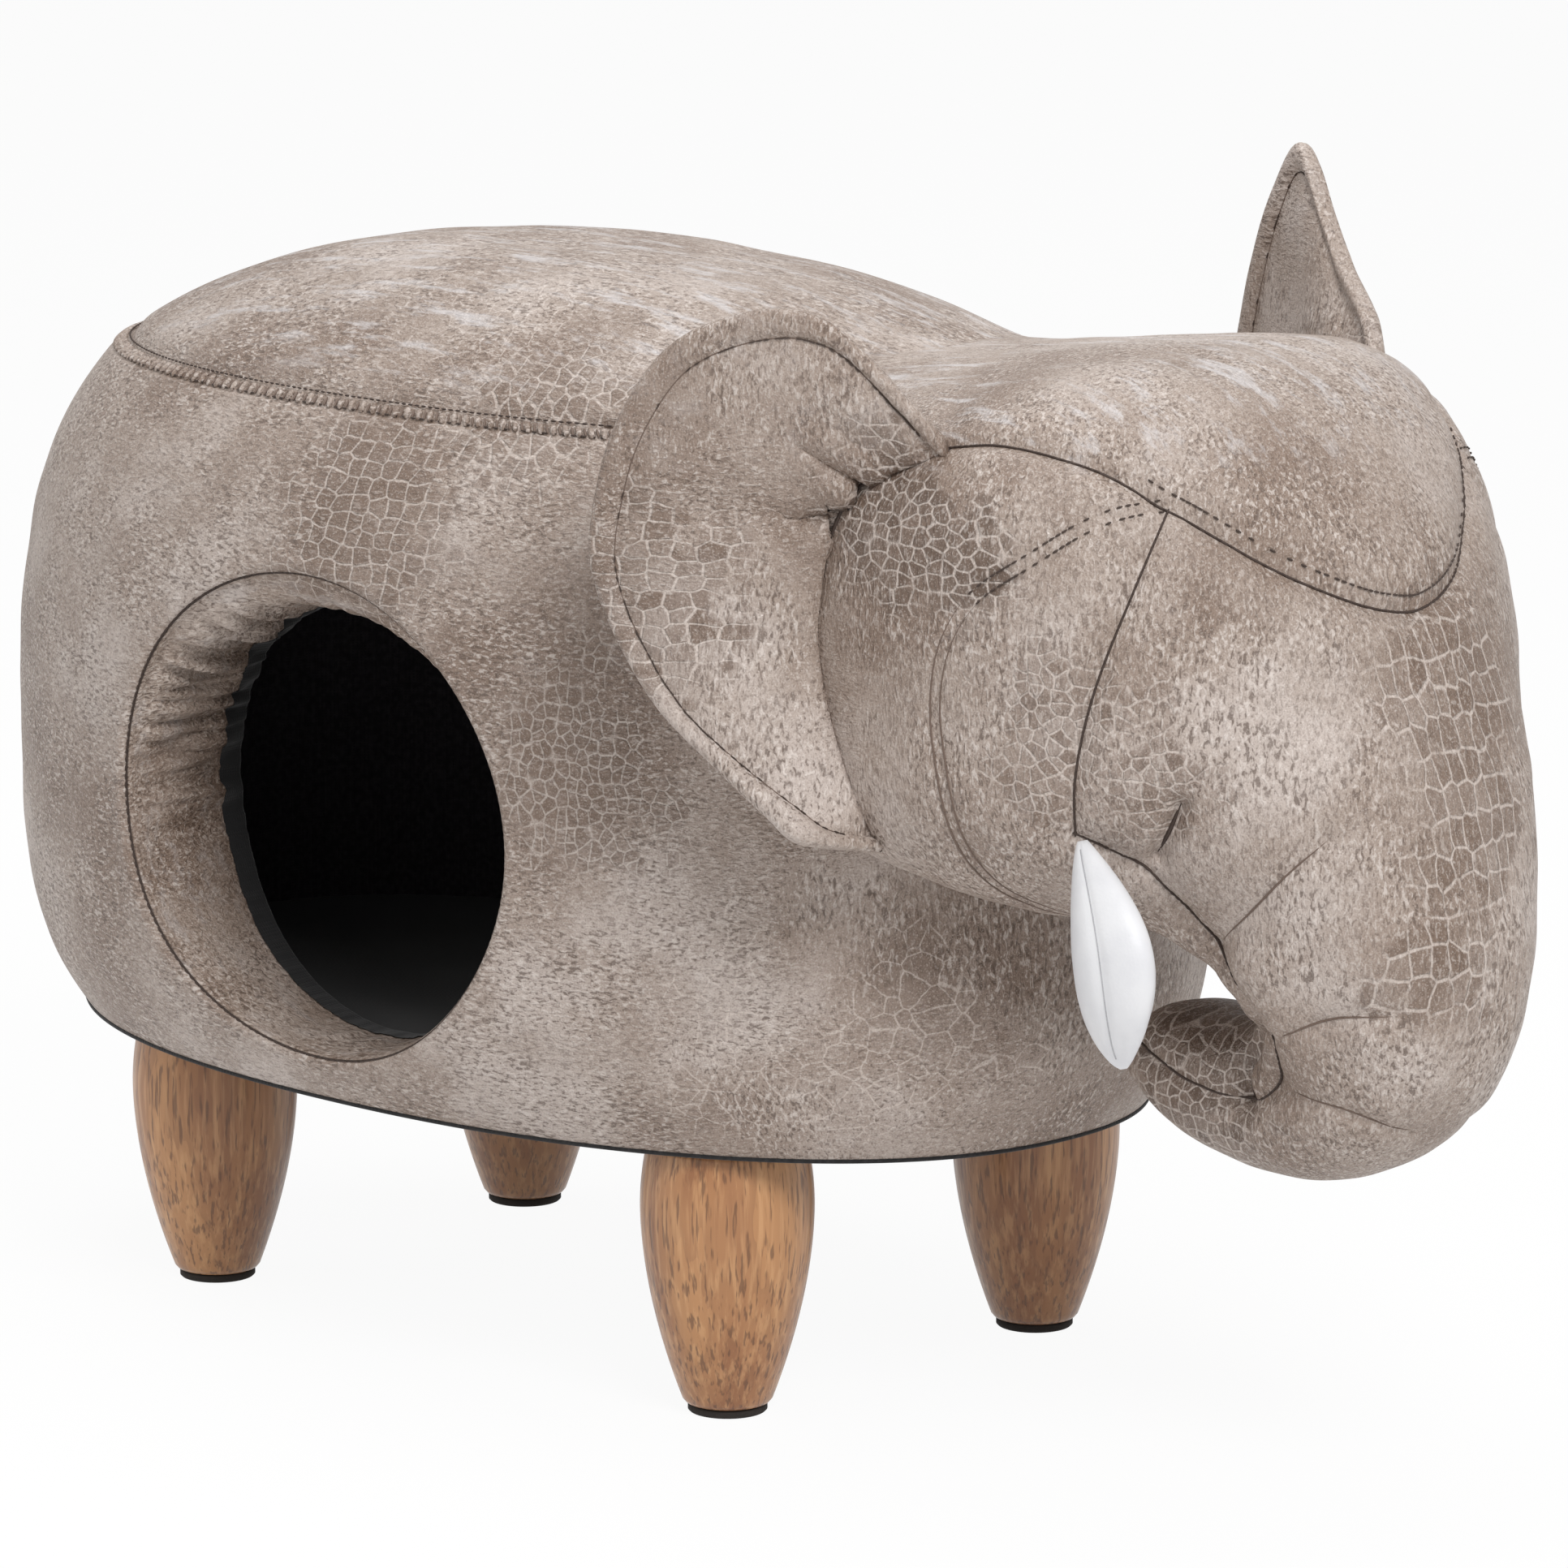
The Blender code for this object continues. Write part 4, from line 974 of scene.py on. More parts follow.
# %% Stitch tree and thread tubes
# Pitch and lift of each kind of stitch row, length and width of its beads, and the radius of each thread.
# Several of the dark threads are painted shade too, where they lie in grooves, creases, pleats and gaps.
SEAM_ROWS, TOP_ROWS, SEAT_ROWS, HOLE_ROWS = (0.0031, 0.0004), (0.0036, 0.0006), (0.0034, 0.0010), (0.0034, 0.0006)
EAR_STITCHES = (0.0036, 0.0004)
SEAM_BEAD, EAR_BEAD = (0.0025, 0.00085), (0.0027, 0.0006)
TUCK_BEAD, TUCK_GAP_SHADE_BEAD = (0.0074, 0.0030), (0.0062, 0.0012)
SEAM_THREAD_AND_SHADE_RADIUS, FINE_THREAD_AND_PLEAT_SHADE_RADIUS, CREASE_SHADE_RADIUS, HEM_AND_SHADOW_LINE_RADIUS = 0.00050, 0.00046, 0.00090, 0.0009
EAR_EDGE_RADIUS, EAR_ROOT_SEAM_AND_SHADE_RADIUS, TUSK_RADIUS = 0.00022, 0.0009, 0.00030


def build_stitch_tree():
    """Geometry Nodes that put one bead of thread on each point, along the point's lay."""
    tree = bpy.data.node_groups.new("sewn_marks", "GeometryNodeTree")
    face = tree.interface
    face.new_socket("Geometry", in_out="INPUT", socket_type="NodeSocketGeometry")
    for name, value in (("Length", 0.0022), ("Width", 0.0007)):
        face.new_socket(name, in_out="INPUT", socket_type="NodeSocketFloat").default_value = value
    face.new_socket("Thread", in_out="INPUT", socket_type="NodeSocketMaterial")
    face.new_socket("Geometry", in_out="OUTPUT", socket_type="NodeSocketGeometry")
    given, result = tree.nodes.new("NodeGroupInput").outputs, tree.nodes.new("NodeGroupOutput").inputs
    lay = add(tree, "GeometryNodeInputNamedAttribute", {"data_type": "FLOAT_VECTOR"}, Name="lay")
    turn = add(tree, "FunctionNodeAlignRotationToVector", {"axis": "Z"}, Vector=lay.outputs["Attribute"])
    bead = add(tree, "GeometryNodeMeshUVSphere", {}, Segments=6, Rings=4, Radius=0.5)
    size = add(tree, "ShaderNodeCombineXYZ", {}, X=given["Width"], Y=given["Width"], Z=given["Length"])
    placed = add(tree, "GeometryNodeInstanceOnPoints", {}, Points=given["Geometry"], Instance=bead.outputs["Mesh"],
                 Rotation=turn.outputs["Rotation"], Scale=size.outputs["Vector"])
    whole = add(tree, "GeometryNodeRealizeInstances", {}, Geometry=placed.outputs["Instances"])
    shaded = add(tree, "GeometryNodeSetShadeSmooth", {}, Geometry=whole.outputs["Geometry"])
    dyed = add(tree, "GeometryNodeSetMaterial", {}, Geometry=shaded.outputs["Geometry"], Material=given["Thread"])
    tree.links.new(dyed.outputs["Geometry"], result["Geometry"])
    return tree


stitch_tree = build_stitch_tree()


def sewn_marks(name, rows, length, width, thread):
    """One bead of thread at each centre of some rows of (centres, lays), as a plain mesh."""
    centres, lays = (np.vstack(part) for part in zip(*rows))
    mesh = bpy.data.meshes.new(name)
    mesh.from_pydata([tuple(c) for c in centres], [], [])
    mesh.attributes.new("lay", "FLOAT_VECTOR", "POINT").data.foreach_set(
        "vector", np.asarray(lays, dtype=np.float32).ravel())
    made = bpy.data.objects.new(name, mesh)
    scene.collection.objects.link(made)
    step = made.modifiers.new("sewn_marks", "NODES")
    step.node_group = stitch_tree
    sockets = {s.name: s.identifier for s in stitch_tree.interface.items_tree if s.in_out == "INPUT"}
    step[sockets["Length"]], step[sockets["Width"]], step[sockets["Thread"]] = length, width, thread
    bpy.context.view_layer.update()
    plain_mesh(made)
    return made


def stitch_row(path, normals, pitch, lift):
    """Centres and directions of the stitches along a path on a surface."""
    length = np.linalg.norm(np.diff(path, axis=0), axis=1).sum()
    count = max(int(length / pitch), 2)
    both = even_steps(np.hstack([path, normals]), count)
    centres = both[:, :3] + both[:, 3:] * lift
    return centres, np.gradient(centres, axis=0)


def thread_tube(name, runs, radius, finish, sides=6, taper=0.0):
    """A thin tube along each run of (path, normals), thinner towards its ends where it tapers."""
    points, faces = [], []
    for path, normals in runs:
        across = units(np.cross(units(np.gradient(path, axis=0)), normals))
        start = len(points)
        for i, (p, n, b) in enumerate(zip(path, normals, across)):
            size = radius * max(math.sin(math.pi * (i + 0.5) / len(path)), 0.02) ** taper
            for k in range(sides):
                turn = 2 * math.pi * k / sides
                points.append(p + size * (math.cos(turn) * n + math.sin(turn) * b))
        faces += [tuple(start + i for i in f) for f in grid_faces(len(path), sides, True)]
        faces += [tuple(start + k for k in reversed(range(sides))),
                  tuple(start + (len(path) - 1) * sides + k for k in range(sides))]
    made = new_piece(name, points, faces, finish)
    outward(made)
    return made


def on_surface(tree, path, rounds=3):
    """A path pressed onto a surface and smoothed along it, with the surface's normals."""
    spots = np.asarray(path, float)
    for smooth in (rounds, 3):
        found = [tree.find_nearest(Vector(p)) for p in spots]
        spots = np.array([f[0] for f in found])
        normals = np.array([f[1] for f in found])
        for _ in range(smooth):
            normals[1:-1] = (normals[:-2] + normals[1:-1] * 2 + normals[2:]) / 4
            spots[1:-1] = (spots[:-2] + spots[1:-1] * 2 + spots[2:]) / 4
    return spots, units(normals)


def sunk_path(tree, path, normals):
    """A path moved straight down its normals onto a surface, with its depth evened along it."""
    depth = []
    for p, n in zip(path, normals):
        found = tree.ray_cast(Vector(p + n * 0.008), Vector(-n), 0.03)
        depth.append((p - np.array(found[0])) @ n if found[0] else (depth[-1] if depth else 0.0))
    depth = np.array(depth)
    for _ in range(6):
        depth[1:-1] = (depth[:-2] + depth[1:-1] * 2 + depth[2:]) / 4
    return path - normals * depth[:, None], normals


def both_sides(path):
    """A smooth path through a few points on the right side, and its mirror on the left."""
    right = smooth_path(path)
    return [right, right * (1, -1, 1)]


print("stitch tree:", len(stitch_tree.nodes), "nodes")

# %% [markdown]
# ## Seat, head and trunk
#
# The seat's top panel runs unbroken over the head to a rounded tab on the forehead, and the face runs
# on into the trunk, so these are one skin. It starts from the solids: they are swollen a little,
# joined, and remeshed into one even net. The joins are relaxed until they flow, then the skin is
# stuffed with Cloth under pressure while its seams are held, so the panels belly out between them.

# %% Seam lines
CROWN_SEAM = [(0.085, -0.128, 0.374), (0.120, -0.131, 0.376), (0.155, -0.130, 0.380), (0.185, -0.125, 0.384),
              (0.205, -0.118, 0.387), (0.226, -0.111, 0.387), (0.256, -0.093, 0.378), (0.276, -0.081, 0.366),
              (0.300, -0.057, 0.347), (0.318, -0.026, 0.331), (0.324, 0.0, 0.325)]
FACE_SEAM = [(0.276, -0.081, 0.366), (0.277, -0.099, 0.341), (0.270, -0.113, 0.305), (0.263, -0.116, 0.273),
             (0.258, -0.110, 0.249)]
MOUTH_SEAM = [(0.258, -0.110, 0.249), (0.272, -0.093, 0.237), (0.277, -0.075, 0.222), (0.284, -0.055, 0.210)]
CHEEK_SEAM = [(0.274, -0.083, 0.368), (0.261, -0.103, 0.362), (0.247, -0.121, 0.349), (0.229, -0.131, 0.335),
              (0.217, -0.134, 0.315), (0.213, -0.134, 0.292), (0.216, -0.133, 0.269), (0.218, -0.123, 0.240),
              (0.224, -0.103, 0.221), (0.235, -0.070, 0.208)]
GUSSET_SEAM = [(0.205, -0.020, 0.158), (0.225, -0.032, 0.154), (0.241, -0.035, 0.149), (0.263, -0.037, 0.146),
               (0.282, -0.040, 0.147), (0.296, -0.043, 0.158), (0.299, -0.046, 0.178), (0.292, -0.050, 0.198),
               (0.284, -0.055, 0.210)]
FACE_CREASE = [(0.2925, -0.0925, 0.261), (0.2865, -0.0935, 0.247), (0.2795, -0.0915, 0.2375)]
FACE_PLEATS = [[(0.332, -0.058, 0.252), (0.317, -0.068, 0.236), (0.285, -0.056, 0.212)],
               [(0.345, -0.038, 0.187), (0.325, -0.048, 0.186), (0.297, -0.044, 0.178)],
               [(0.297, -0.041, 0.155), (0.324, -0.037, 0.150), (0.336, -0.016, 0.139)]]
crown_right, crown_left = both_sides(CROWN_SEAM)
DEEP_SEAMS = [np.vstack([crown_right, crown_left[-2::-1]])]
for seam in (FACE_SEAM, MOUTH_SEAM, GUSSET_SEAM):
    DEEP_SEAMS += both_sides(seam)
TOP_STITCHED = both_sides(CHEEK_SEAM)
TIP_FOLD = [(0.2920, -0.0520, 0.1785), (0.2800, -0.0400, 0.1690), (0.2725, -0.0330, 0.1600), (0.2735, -0.0358, 0.1450)]
CREASES = both_sides(FACE_CREASE) + both_sides(TIP_FOLD)
PLEATS = [side for pleat in FACE_PLEATS for side in both_sides(pleat)]
print("seams:", len(DEEP_SEAMS), "pleats:", len(PLEATS))

# %% Skin from the solids
SKIN_VOXEL, SKIN_SWELL = 0.0045, 0.0009
NECK_X, NECK_REACH = 0.095, 0.07
BROW_X, BROW_Z, BROW_REACH = 0.300, 0.255, 0.085


def joined_solids(name, nodes, swell):
    """Copies of some solids, swollen a little and remeshed into one skin."""
    bm = bmesh.new()
    for node in nodes:
        bm.from_mesh(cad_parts[node].data)
    bmesh.ops.remove_doubles(bm, verts=bm.verts, dist=1e-6)
    bmesh.ops.recalc_face_normals(bm, faces=bm.faces)
    bm.normal_update()
    for v in bm.verts:
        v.co += v.normal * swell
    mesh = bpy.data.meshes.new(name)
    bm.to_mesh(mesh)
    bm.free()
    made = bpy.data.objects.new(name, mesh)
    scene.collection.objects.link(made)
    net = made.modifiers.new("net", "REMESH")
    net.mode, net.voxel_size, net.use_smooth_shade = "VOXEL", SKIN_VOXEL, True
    plain_mesh(made)
    return made


def edges_of(mesh):
    """The pairs of points that a mesh's edges join."""
    found = np.empty(len(mesh.edges) * 2, dtype=np.int64)
    mesh.edges.foreach_get("vertices", found)
    return found.reshape(-1, 2)


def relax(points, edges, weight, rounds):
    """Move each point towards the middle of its neighbours, by its weight."""
    count = np.bincount(edges.ravel(), minlength=len(points)).astype(float)
    for _ in range(rounds):
        total = np.column_stack([
            np.bincount(edges[:, 0], points[edges[:, 1], k], len(points))
            + np.bincount(edges[:, 1], points[edges[:, 0], k], len(points)) for k in range(3)])
        points = points + weight[:, None] * (total / count[:, None] - points)
    return points


def tub_share(points, inset):
    """1 on the drawn-in oval of the tub, less inside it."""
    return ((np.abs(points[:, 0] - TUB_X) / (TUB_HALF_X - inset)) ** PLAN_POWER
            + (np.abs(points[:, 1]) / (TUB_HALF_Y - inset)) ** PLAN_POWER) ** (1 / PLAN_POWER)


def near_paths(points, paths):
    """Distance from each point to the nearest of some paths."""
    spots = np.vstack(paths)
    tree = kdtree.KDTree(len(spots))
    for i, spot in enumerate(spots):
        tree.insert(spot, i)
    tree.balance()
    return np.array([tree.find(p)[2] for p in points])


skin = joined_solids("top_head_and_trunk", ("seat_cover", "seat_foam", "head", "trunk"), SKIN_SWELL)
skin_points, skin_edges = points_of(skin.data), edges_of(skin.data)
everywhere = np.full(len(skin_points), 1.0)
for _ in range(5):
    skin_points = relax(skin_points, skin_edges, everywhere * 0.5, 1)
    skin_points = relax(skin_points, skin_edges, everywhere * -0.53, 1)
x, y, z = skin_points.T
valley = np.clip(1.3 - np.abs(x - NECK_X) / NECK_REACH, 0, 1) * (z > 0.35)
brow = np.clip(1.3 - np.hypot(x - BROW_X, z - BROW_Z) / BROW_REACH, 0, 1) * np.clip((z - 0.205) / 0.02, 0, 1)
eased = relax(skin_points, skin_edges, 0.6 * np.maximum(valley, brow), 70) - skin_points
eased *= np.minimum(1, np.where(valley > 0, 0.05, 0.008) / (np.linalg.norm(eased, axis=1) + 1e-9))[:, None]
skin_points = relax(skin_points + eased, skin_edges, 0.5 * brow, 4)
skin_points = relax(skin_points, skin_edges, everywhere * 0.4, 3)
put_points(skin.data, skin_points)
print("skin net:", len(skin_points), "points")

# %% Stuff the skin
STUFFING_PRESSURE, STUFFING_CAP = 4.0, 0.006
HELD_AT_SEAM, HELD_AT_PLEAT, HELD_BEHIND_X = 0.0035, 0.003, 0.05


def stuffed(piece, held, pressure, cap, frames=20):
    """Swell a closed skin with Cloth; held points stay, and none moves further than the cap."""
    start = points_of(piece.data)
    group = piece.vertex_groups.new(name="held")
    for weight in (0.5, 1.0):
        group.add([int(i) for i in np.nonzero(held >= weight)[0]], weight, "REPLACE")
    cloth = piece.modifiers.new("stuffing", "CLOTH")
    cloth.settings.vertex_group_mass = "held"
    cloth.settings.use_pressure = True
    cloth.settings.uniform_pressure_force = pressure
    cloth.settings.quality = 4
    cloth.settings.bending_stiffness = 1.5
    cloth.settings.effector_weights.gravity = 0
    cloth.collision_settings.use_collision = False
    cloth.point_cache.frame_start, cloth.point_cache.frame_end = 1, frames
    for number in range(1, frames + 1):
        scene.frame_set(number)
    plain_mesh(piece)
    scene.frame_set(1)
    moved = points_of(piece.data) - start
    length = np.linalg.norm(moved, axis=1)
    moved *= np.minimum(1, cap / np.maximum(length, 1e-9))[:, None]
    put_points(piece.data, start + moved)
    piece.vertex_groups.clear()
    return float(length.max()), float(np.minimum(length, cap).mean())


x, y, z = skin_points.T
seam_gap = near_paths(skin_points, DEEP_SEAMS)
pleat_gap = near_paths(skin_points, PLEATS + CREASES)
hidden = (tub_share(skin_points, 0.012) < 1) & (z < SEAM_Z)
held = np.where(hidden | (x < HELD_BEHIND_X), 1.0, 0.0)
held = np.maximum(held, np.where(seam_gap < HELD_AT_SEAM, 1.0, 0.0))
held = np.maximum(held, np.where(pleat_gap < HELD_AT_PLEAT, 0.5, 0.0))
print("stuffing moved (furthest, mean):", stuffed(skin, held, STUFFING_PRESSURE, STUFFING_CAP))

# %% Seat dome, grooves and pleats
SEAT_FULL_X, SEAT_END_X = 0.02, 0.105
RIM_FULL_X, RIM_END_X, RIM_FROM, RIM_FULL = 0.065, 0.090, 0.86, 0.97
HEAD_START_X, HEAD_FULL_X = 0.10, 0.16
finer = skin.modifiers.new("finer", "SUBSURF")
finer.levels = finer.render_levels = 1
plain_mesh(skin)
skin_points, skin_normals = points_of(skin.data), normals_of(skin.data)


def soft_step(value, low, high):
    """A smooth step from 0 to 1."""
    t = np.clip((value - low) / (high - low), 0, 1)
    return t * t * (3 - 2 * t)


def seat_height(points):
    """Height of the domed seat, sunk into its seam at the rim."""
    seam_inset, seam_z = tub_rows[SEAM_ROW]
    share = tub_share(points, seam_inset)
    reach = np.hypot(points[:, 0] - TUB_X, points[:, 1]) / np.maximum(share, 1e-6)
    rim = np.maximum(1 - share, 0) * reach
    dome = SEAM_Z + SEAT_CROWN * (1 - np.minimum(share, 1) ** SEAT_CROWN_POWER)
    dome -= (SEAM_Z - seam_z + 0.0012) * np.exp(-(rim / GROOVE_WIDTH) ** 2)
    return dome - np.maximum(share - 1, 0) * reach * 1.2


x, y, z = skin_points.T
at_rim = soft_step(tub_share(skin_points, tub_rows[SEAM_ROW][0]), RIM_FROM, RIM_FULL)
at_rim *= soft_step(-x, -RIM_END_X, -RIM_FULL_X)
on_seat = np.maximum(soft_step(-x, -SEAT_END_X, -SEAT_FULL_X), at_rim)
top_side = skin_normals[:, 2] > 0.2
flat = np.column_stack([x, y, np.zeros(len(x))])
pad = 0.0016 * lumps(flat, 13, 21) + 0.0007 * lumps(flat, 34, 22)
pad *= np.clip((1 - tub_share(skin_points, SEAM_INSET)) / 0.12, 0, 1)
skin_points[:, 2] = np.where(top_side, z + on_seat * (seat_height(skin_points) + pad - z), z)
rest = ~top_side & (x < 0.09)
skin_points[rest, 2] = np.minimum(skin_points[rest, 2], SEAM_Z - 0.004)
put_points(skin.data, skin_points)

LIP_BEND_WIDTH, LIP_BEND_HALF, LIP_BEND_FILL = 0.020, 0.085, 0.012
LIP_BEND = smooth_path([(0.276, 0.0, 0.200), (0.292, 0.0, 0.196), (0.298, 0.0, 0.182)])
skin_normals = normals_of(skin.data)
lip_gap = near_paths(skin_points * (1, 0, 1), [LIP_BEND])
lip = np.exp(-(lip_gap / LIP_BEND_WIDTH) ** 2) * soft_step(LIP_BEND_HALF - np.abs(y), 0, 0.03)
skin_points += skin_normals * (LIP_BEND_FILL * lip)[:, None]
put_points(skin.data, skin_points)

bare = surface_of(skin.data)
DEEP_SEAMS, TOP_STITCHED, CREASES, PLEATS = (
    [on_surface(bare, path, 24) for path in paths] for paths in (DEEP_SEAMS, TOP_STITCHED, CREASES, PLEATS))
skin_normals = normals_of(skin.data)
seam_gap, stitch_gap, crease_gap, pleat_gap = (
    near_paths(skin_points, [path for path, normals in paths])
    for paths in (DEEP_SEAMS, TOP_STITCHED, CREASES, PLEATS))
sink = sum(deep * np.exp(-(gap / wide) ** 2) for gap, deep, wide in (
    (seam_gap, 0.0022, 0.0085), (seam_gap, 0.0016, 0.0028), (stitch_gap, 0.0010, 0.004),
    (crease_gap, 0.0030, 0.008), (crease_gap, 0.0040, 0.0032), (pleat_gap, 0.0016, 0.006),
    (pleat_gap, 0.0010, 0.0026)))
on_head = soft_step(x, HEAD_START_X, HEAD_FULL_X)
uneven = 0.0012 * lumps(skin_points, 22, 23) + 0.0006 * lumps(skin_points, 60, 24)
skin_points += skin_normals * ((uneven - sink) * on_head)[:, None]
put_points(skin.data, skin_points)
skin.data.materials.clear()
skin.data.materials.append(TAUPE_LEATHER)
skin.data.shade_smooth()
skin_tree = surface_of(skin.data)
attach(skin, "pouf")
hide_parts("seat_cover", "seat_foam", "head", "trunk")
print("skin:", len(skin.data.polygons), "faces")

# %% Seam threads and stitches on the tub and head
TAB_FROM_X, TAB_ROW_SIDE = 0.268, -0.0055
CHEEK_SHOWN, CHEEK_ROW_SIDES = 0.32, (-0.0022, 0.0022)
SEAM_FRONT_X = 0.078
HOLE_SEAM = (0.0012, 0.0030)
UP = (0.0, 0.0, 1.0)


def beside(path, normals, side):
    """A line that runs beside a seam, laid on the skin."""
    across = units(np.cross(np.gradient(path, axis=0), normals))
    return sunk_path(skin_tree, path + across * side, normals)


def rear_part(ring):
    """The part of a ring round the tub that lies behind the head."""
    ring = np.roll(ring, -int(np.argmax(oval_unit[:, 0])), axis=0)
    return ring[ring[:, 0] < SEAM_FRONT_X]


runs = [sunk_path(skin_tree, *seam) for seam in DEEP_SEAMS]
stitches = [stitch_row(*run, *SEAM_ROWS) for run in runs]
tab = [part[DEEP_SEAMS[0][0][:, 0] > TAB_FROM_X] for part in DEEP_SEAMS[0]]
top_rows = [beside(*tab, TAB_ROW_SIDE)]
# Dark tubes sunk in the creases: painted shade, as no thread is there.
crease_shade_runs = [sunk_path(skin_tree, *crease) for crease in CREASES]
fine_and_pleat_shade_runs = [sunk_path(skin_tree, *pleat) for pleat in PLEATS]
for path, normals in TOP_STITCHED:
    shown = int(CHEEK_SHOWN * len(path))
    for side in CHEEK_ROW_SIDES:
        top_rows.append(beside(path[:shown], normals[:shown], side))
        fine_and_pleat_shade_runs.append(beside(path[shown:], normals[shown:], side))
stitches += [stitch_row(*line, *TOP_ROWS) for line in top_rows]

seam_inset, seam_z = tub_rows[SEAM_ROW]
rear = rear_part(oval_ring(seam_inset, seam_z))
stitches.append(stitch_row(rear, np.tile(UP, (len(rear), 1)), *SEAT_ROWS))
band_inset, band_z = min(tub_rows[:SEAM_ROW], key=lambda row: (
    abs(math.hypot(row[0] - seam_inset, row[1] - seam_z) - STITCH_BAND) + (row[1] < 0.3)))
lower = rear_part(oval_ring(band_inset, band_z))
stitches.append(stitch_row(lower, outwards(lower, 0.2), *TOP_ROWS))

hole_ring = np.array([hole_point(angle, *HOLE_SEAM) for angle in hole_angles + hole_angles[:1]])
hole_out = np.tile((0.0, -1.0, 0.0), (len(hole_ring), 1))
runs.append((hole_ring, hole_out))
stitches.append(stitch_row(hole_ring, hole_out, *HOLE_ROWS))

# Painted shadow line under the tub's edge, partly the hem.
hem = thread_tube("underside_hem_and_shadow_line", [(hem_and_shadow_line_path, np.tile(UP, (len(hem_and_shadow_line_path), 1)))], HEM_AND_SHADOW_LINE_RADIUS, DUST_CLOTH_AND_SHADOW_LINE, 8)
# The thread in the seam grooves is dark and thick enough to be partly painted shade in the groove.
seam_threads_and_shade = thread_tube("seam_threads_and_shade", runs, SEAM_THREAD_AND_SHADE_RADIUS, DARK_THREAD_AND_SHADE)
# Thin dark tubes: topstitch thread beside the lower cheek seams, and painted shade in the pleats.
fine_threads_and_pleat_shade = thread_tube("fine_threads_and_pleat_shade", fine_and_pleat_shade_runs, FINE_THREAD_AND_PLEAT_SHADE_RADIUS, STITCH_THREAD_AND_SHADE, taper=0.7)
# Painted shade in the creases.
crease_shade_lines = thread_tube("crease_shade_lines", crease_shade_runs, CREASE_SHADE_RADIUS, DARK_THREAD_AND_SHADE, taper=0.9)
seam_stitches = sewn_marks("seam_stitches", stitches, *SEAM_BEAD, DARK_THREAD_AND_SHADE)
for piece in (hem, seam_threads_and_shade, fine_threads_and_pleat_shade, crease_shade_lines, seam_stitches):
    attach(piece, "pouf")
print("threads:", len(seam_threads_and_shade.data.polygons), "faces; stitches:", sum(len(row[0]) for row in stitches))

# %% Gathers under the seat seam
TUCK_PITCH, TUCK_OUT, TUCK_SLANT = 0.0046, 0.0012, 0.55
tuck_ring = rear_part(oval_ring((seam_inset + band_inset) / 2 - TUCK_OUT, (seam_z + band_z) / 2))
tuck_at, tuck_along = stitch_row(tuck_ring, outwards(tuck_ring), TUCK_PITCH, 0.0)
fall = units(np.array([band_inset - seam_inset, band_z - seam_z]))
tuck_lay = -outwards(tuck_at) * fall[0] + np.array([0, 0, fall[1]]) + units(tuck_along) * TUCK_SLANT
between = (tuck_at[:-1] + tuck_at[1:]) / 2
seat_tucks = sewn_marks("seat_gathers", [(tuck_at, tuck_lay)], *TUCK_BEAD, TAUPE_LEATHER)
# Dark dashes between the gathers: painted shade in the gaps.
tuck_gap_shades = sewn_marks("gather_gap_shades", [(between, tuck_lay[:-1])], *TUCK_GAP_SHADE_BEAD, STITCH_THREAD_AND_SHADE)
for piece in (seat_tucks, tuck_gap_shades):
    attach(piece, "pouf")
print("gathers:", len(tuck_at))

# %% [markdown]
# ## Ears
#
# Each ear is two layers of leather with thin padding, turned out and topstitched, so its edge is a
# fat rolled rim. It is sewn to the head along a bowed line, which cups it, and it is pinched where two
# pleats meet that line. The net runs from the sewn line out to the rim.

# %% Ear shape
EAR_ROOT = [(0.204, -0.118, 0.386), (0.184, -0.126, 0.379), (0.169, -0.130, 0.366), (0.160, -0.133, 0.340),
            (0.157, -0.134, 0.308), (0.162, -0.134, 0.280), (0.170, -0.131, 0.256), (0.176, -0.122, 0.235)]
EAR_FOOT = np.array((0.1755, -0.1427, 0.2406))
EAR_RISE = np.array((0.0, 0.0711, 0.9975))
EAR_FLARE = {"right": math.radians(28), "left": math.radians(20)}
EAR_LOWER_RIM = [(0.0965, 0.104), (0.092, 0.084), (0.080, 0.062), (0.065, 0.043), (0.045, 0.026), (0.025, 0.011),
                 (0.010, 0.001)]
EAR_RIM = {"right": [(0.012, 0.187), (0.030, 0.190), (0.052, 0.184), (0.070, 0.173), (0.084, 0.153), (0.093, 0.130)],
           "left": [(0.017, 0.166), (0.031, 0.176), (0.044, 0.186), (0.057, 0.189), (0.070, 0.177), (0.084, 0.155),
                    (0.093, 0.130)]}
EAR_FRONT = {"right": [(0.194, -0.125, 0.400), (0.182, -0.131, 0.414)],
             "left": [(0.196, -0.124, 0.394), (0.180, -0.133, 0.404)]}
EAR_LIFT = {"right": 0.0, "left": 0.030}
EAR_LIFT_FROM, EAR_TOP, EAR_FRONT_LIFT = 0.10, 0.190, (0.0, 0.3, 0.6)
EAR_PINCHES = (((0.1595, -0.1484, 0.3834), (0.1741, -0.1314, 0.3697)),
               ((0.1522, -0.1466, 0.3548), (0.1662, -0.1330, 0.3587)))
RIM_RADIUS, TOPSTITCH_IN = 0.0036, 0.0112
EAR_BULGE, EAR_LEAN, EAR_FOLD, EAR_SOFT = 0.0060, 0.10, 0.0030, 0.0016
FOLD_Z, FOLD_ROUND, FOLD_WIDTH = 0.357, 0.014, 0.010
PINCH_DEPTH, PINCH_WIDTH, PINCH_RISE, PINCH_RISE_AT, PINCH_RISE_WIDTH = 0.0095, 0.0027, 0.0032, 0.0068, 0.004
RIM_THIN, EAR_PAD, EAR_PAD_START = 0.0015, 0.0030, 0.012
EAR_STITCH_LEAST = 0.020
EAR_COLUMNS, EAR_ROWS = 220, 40
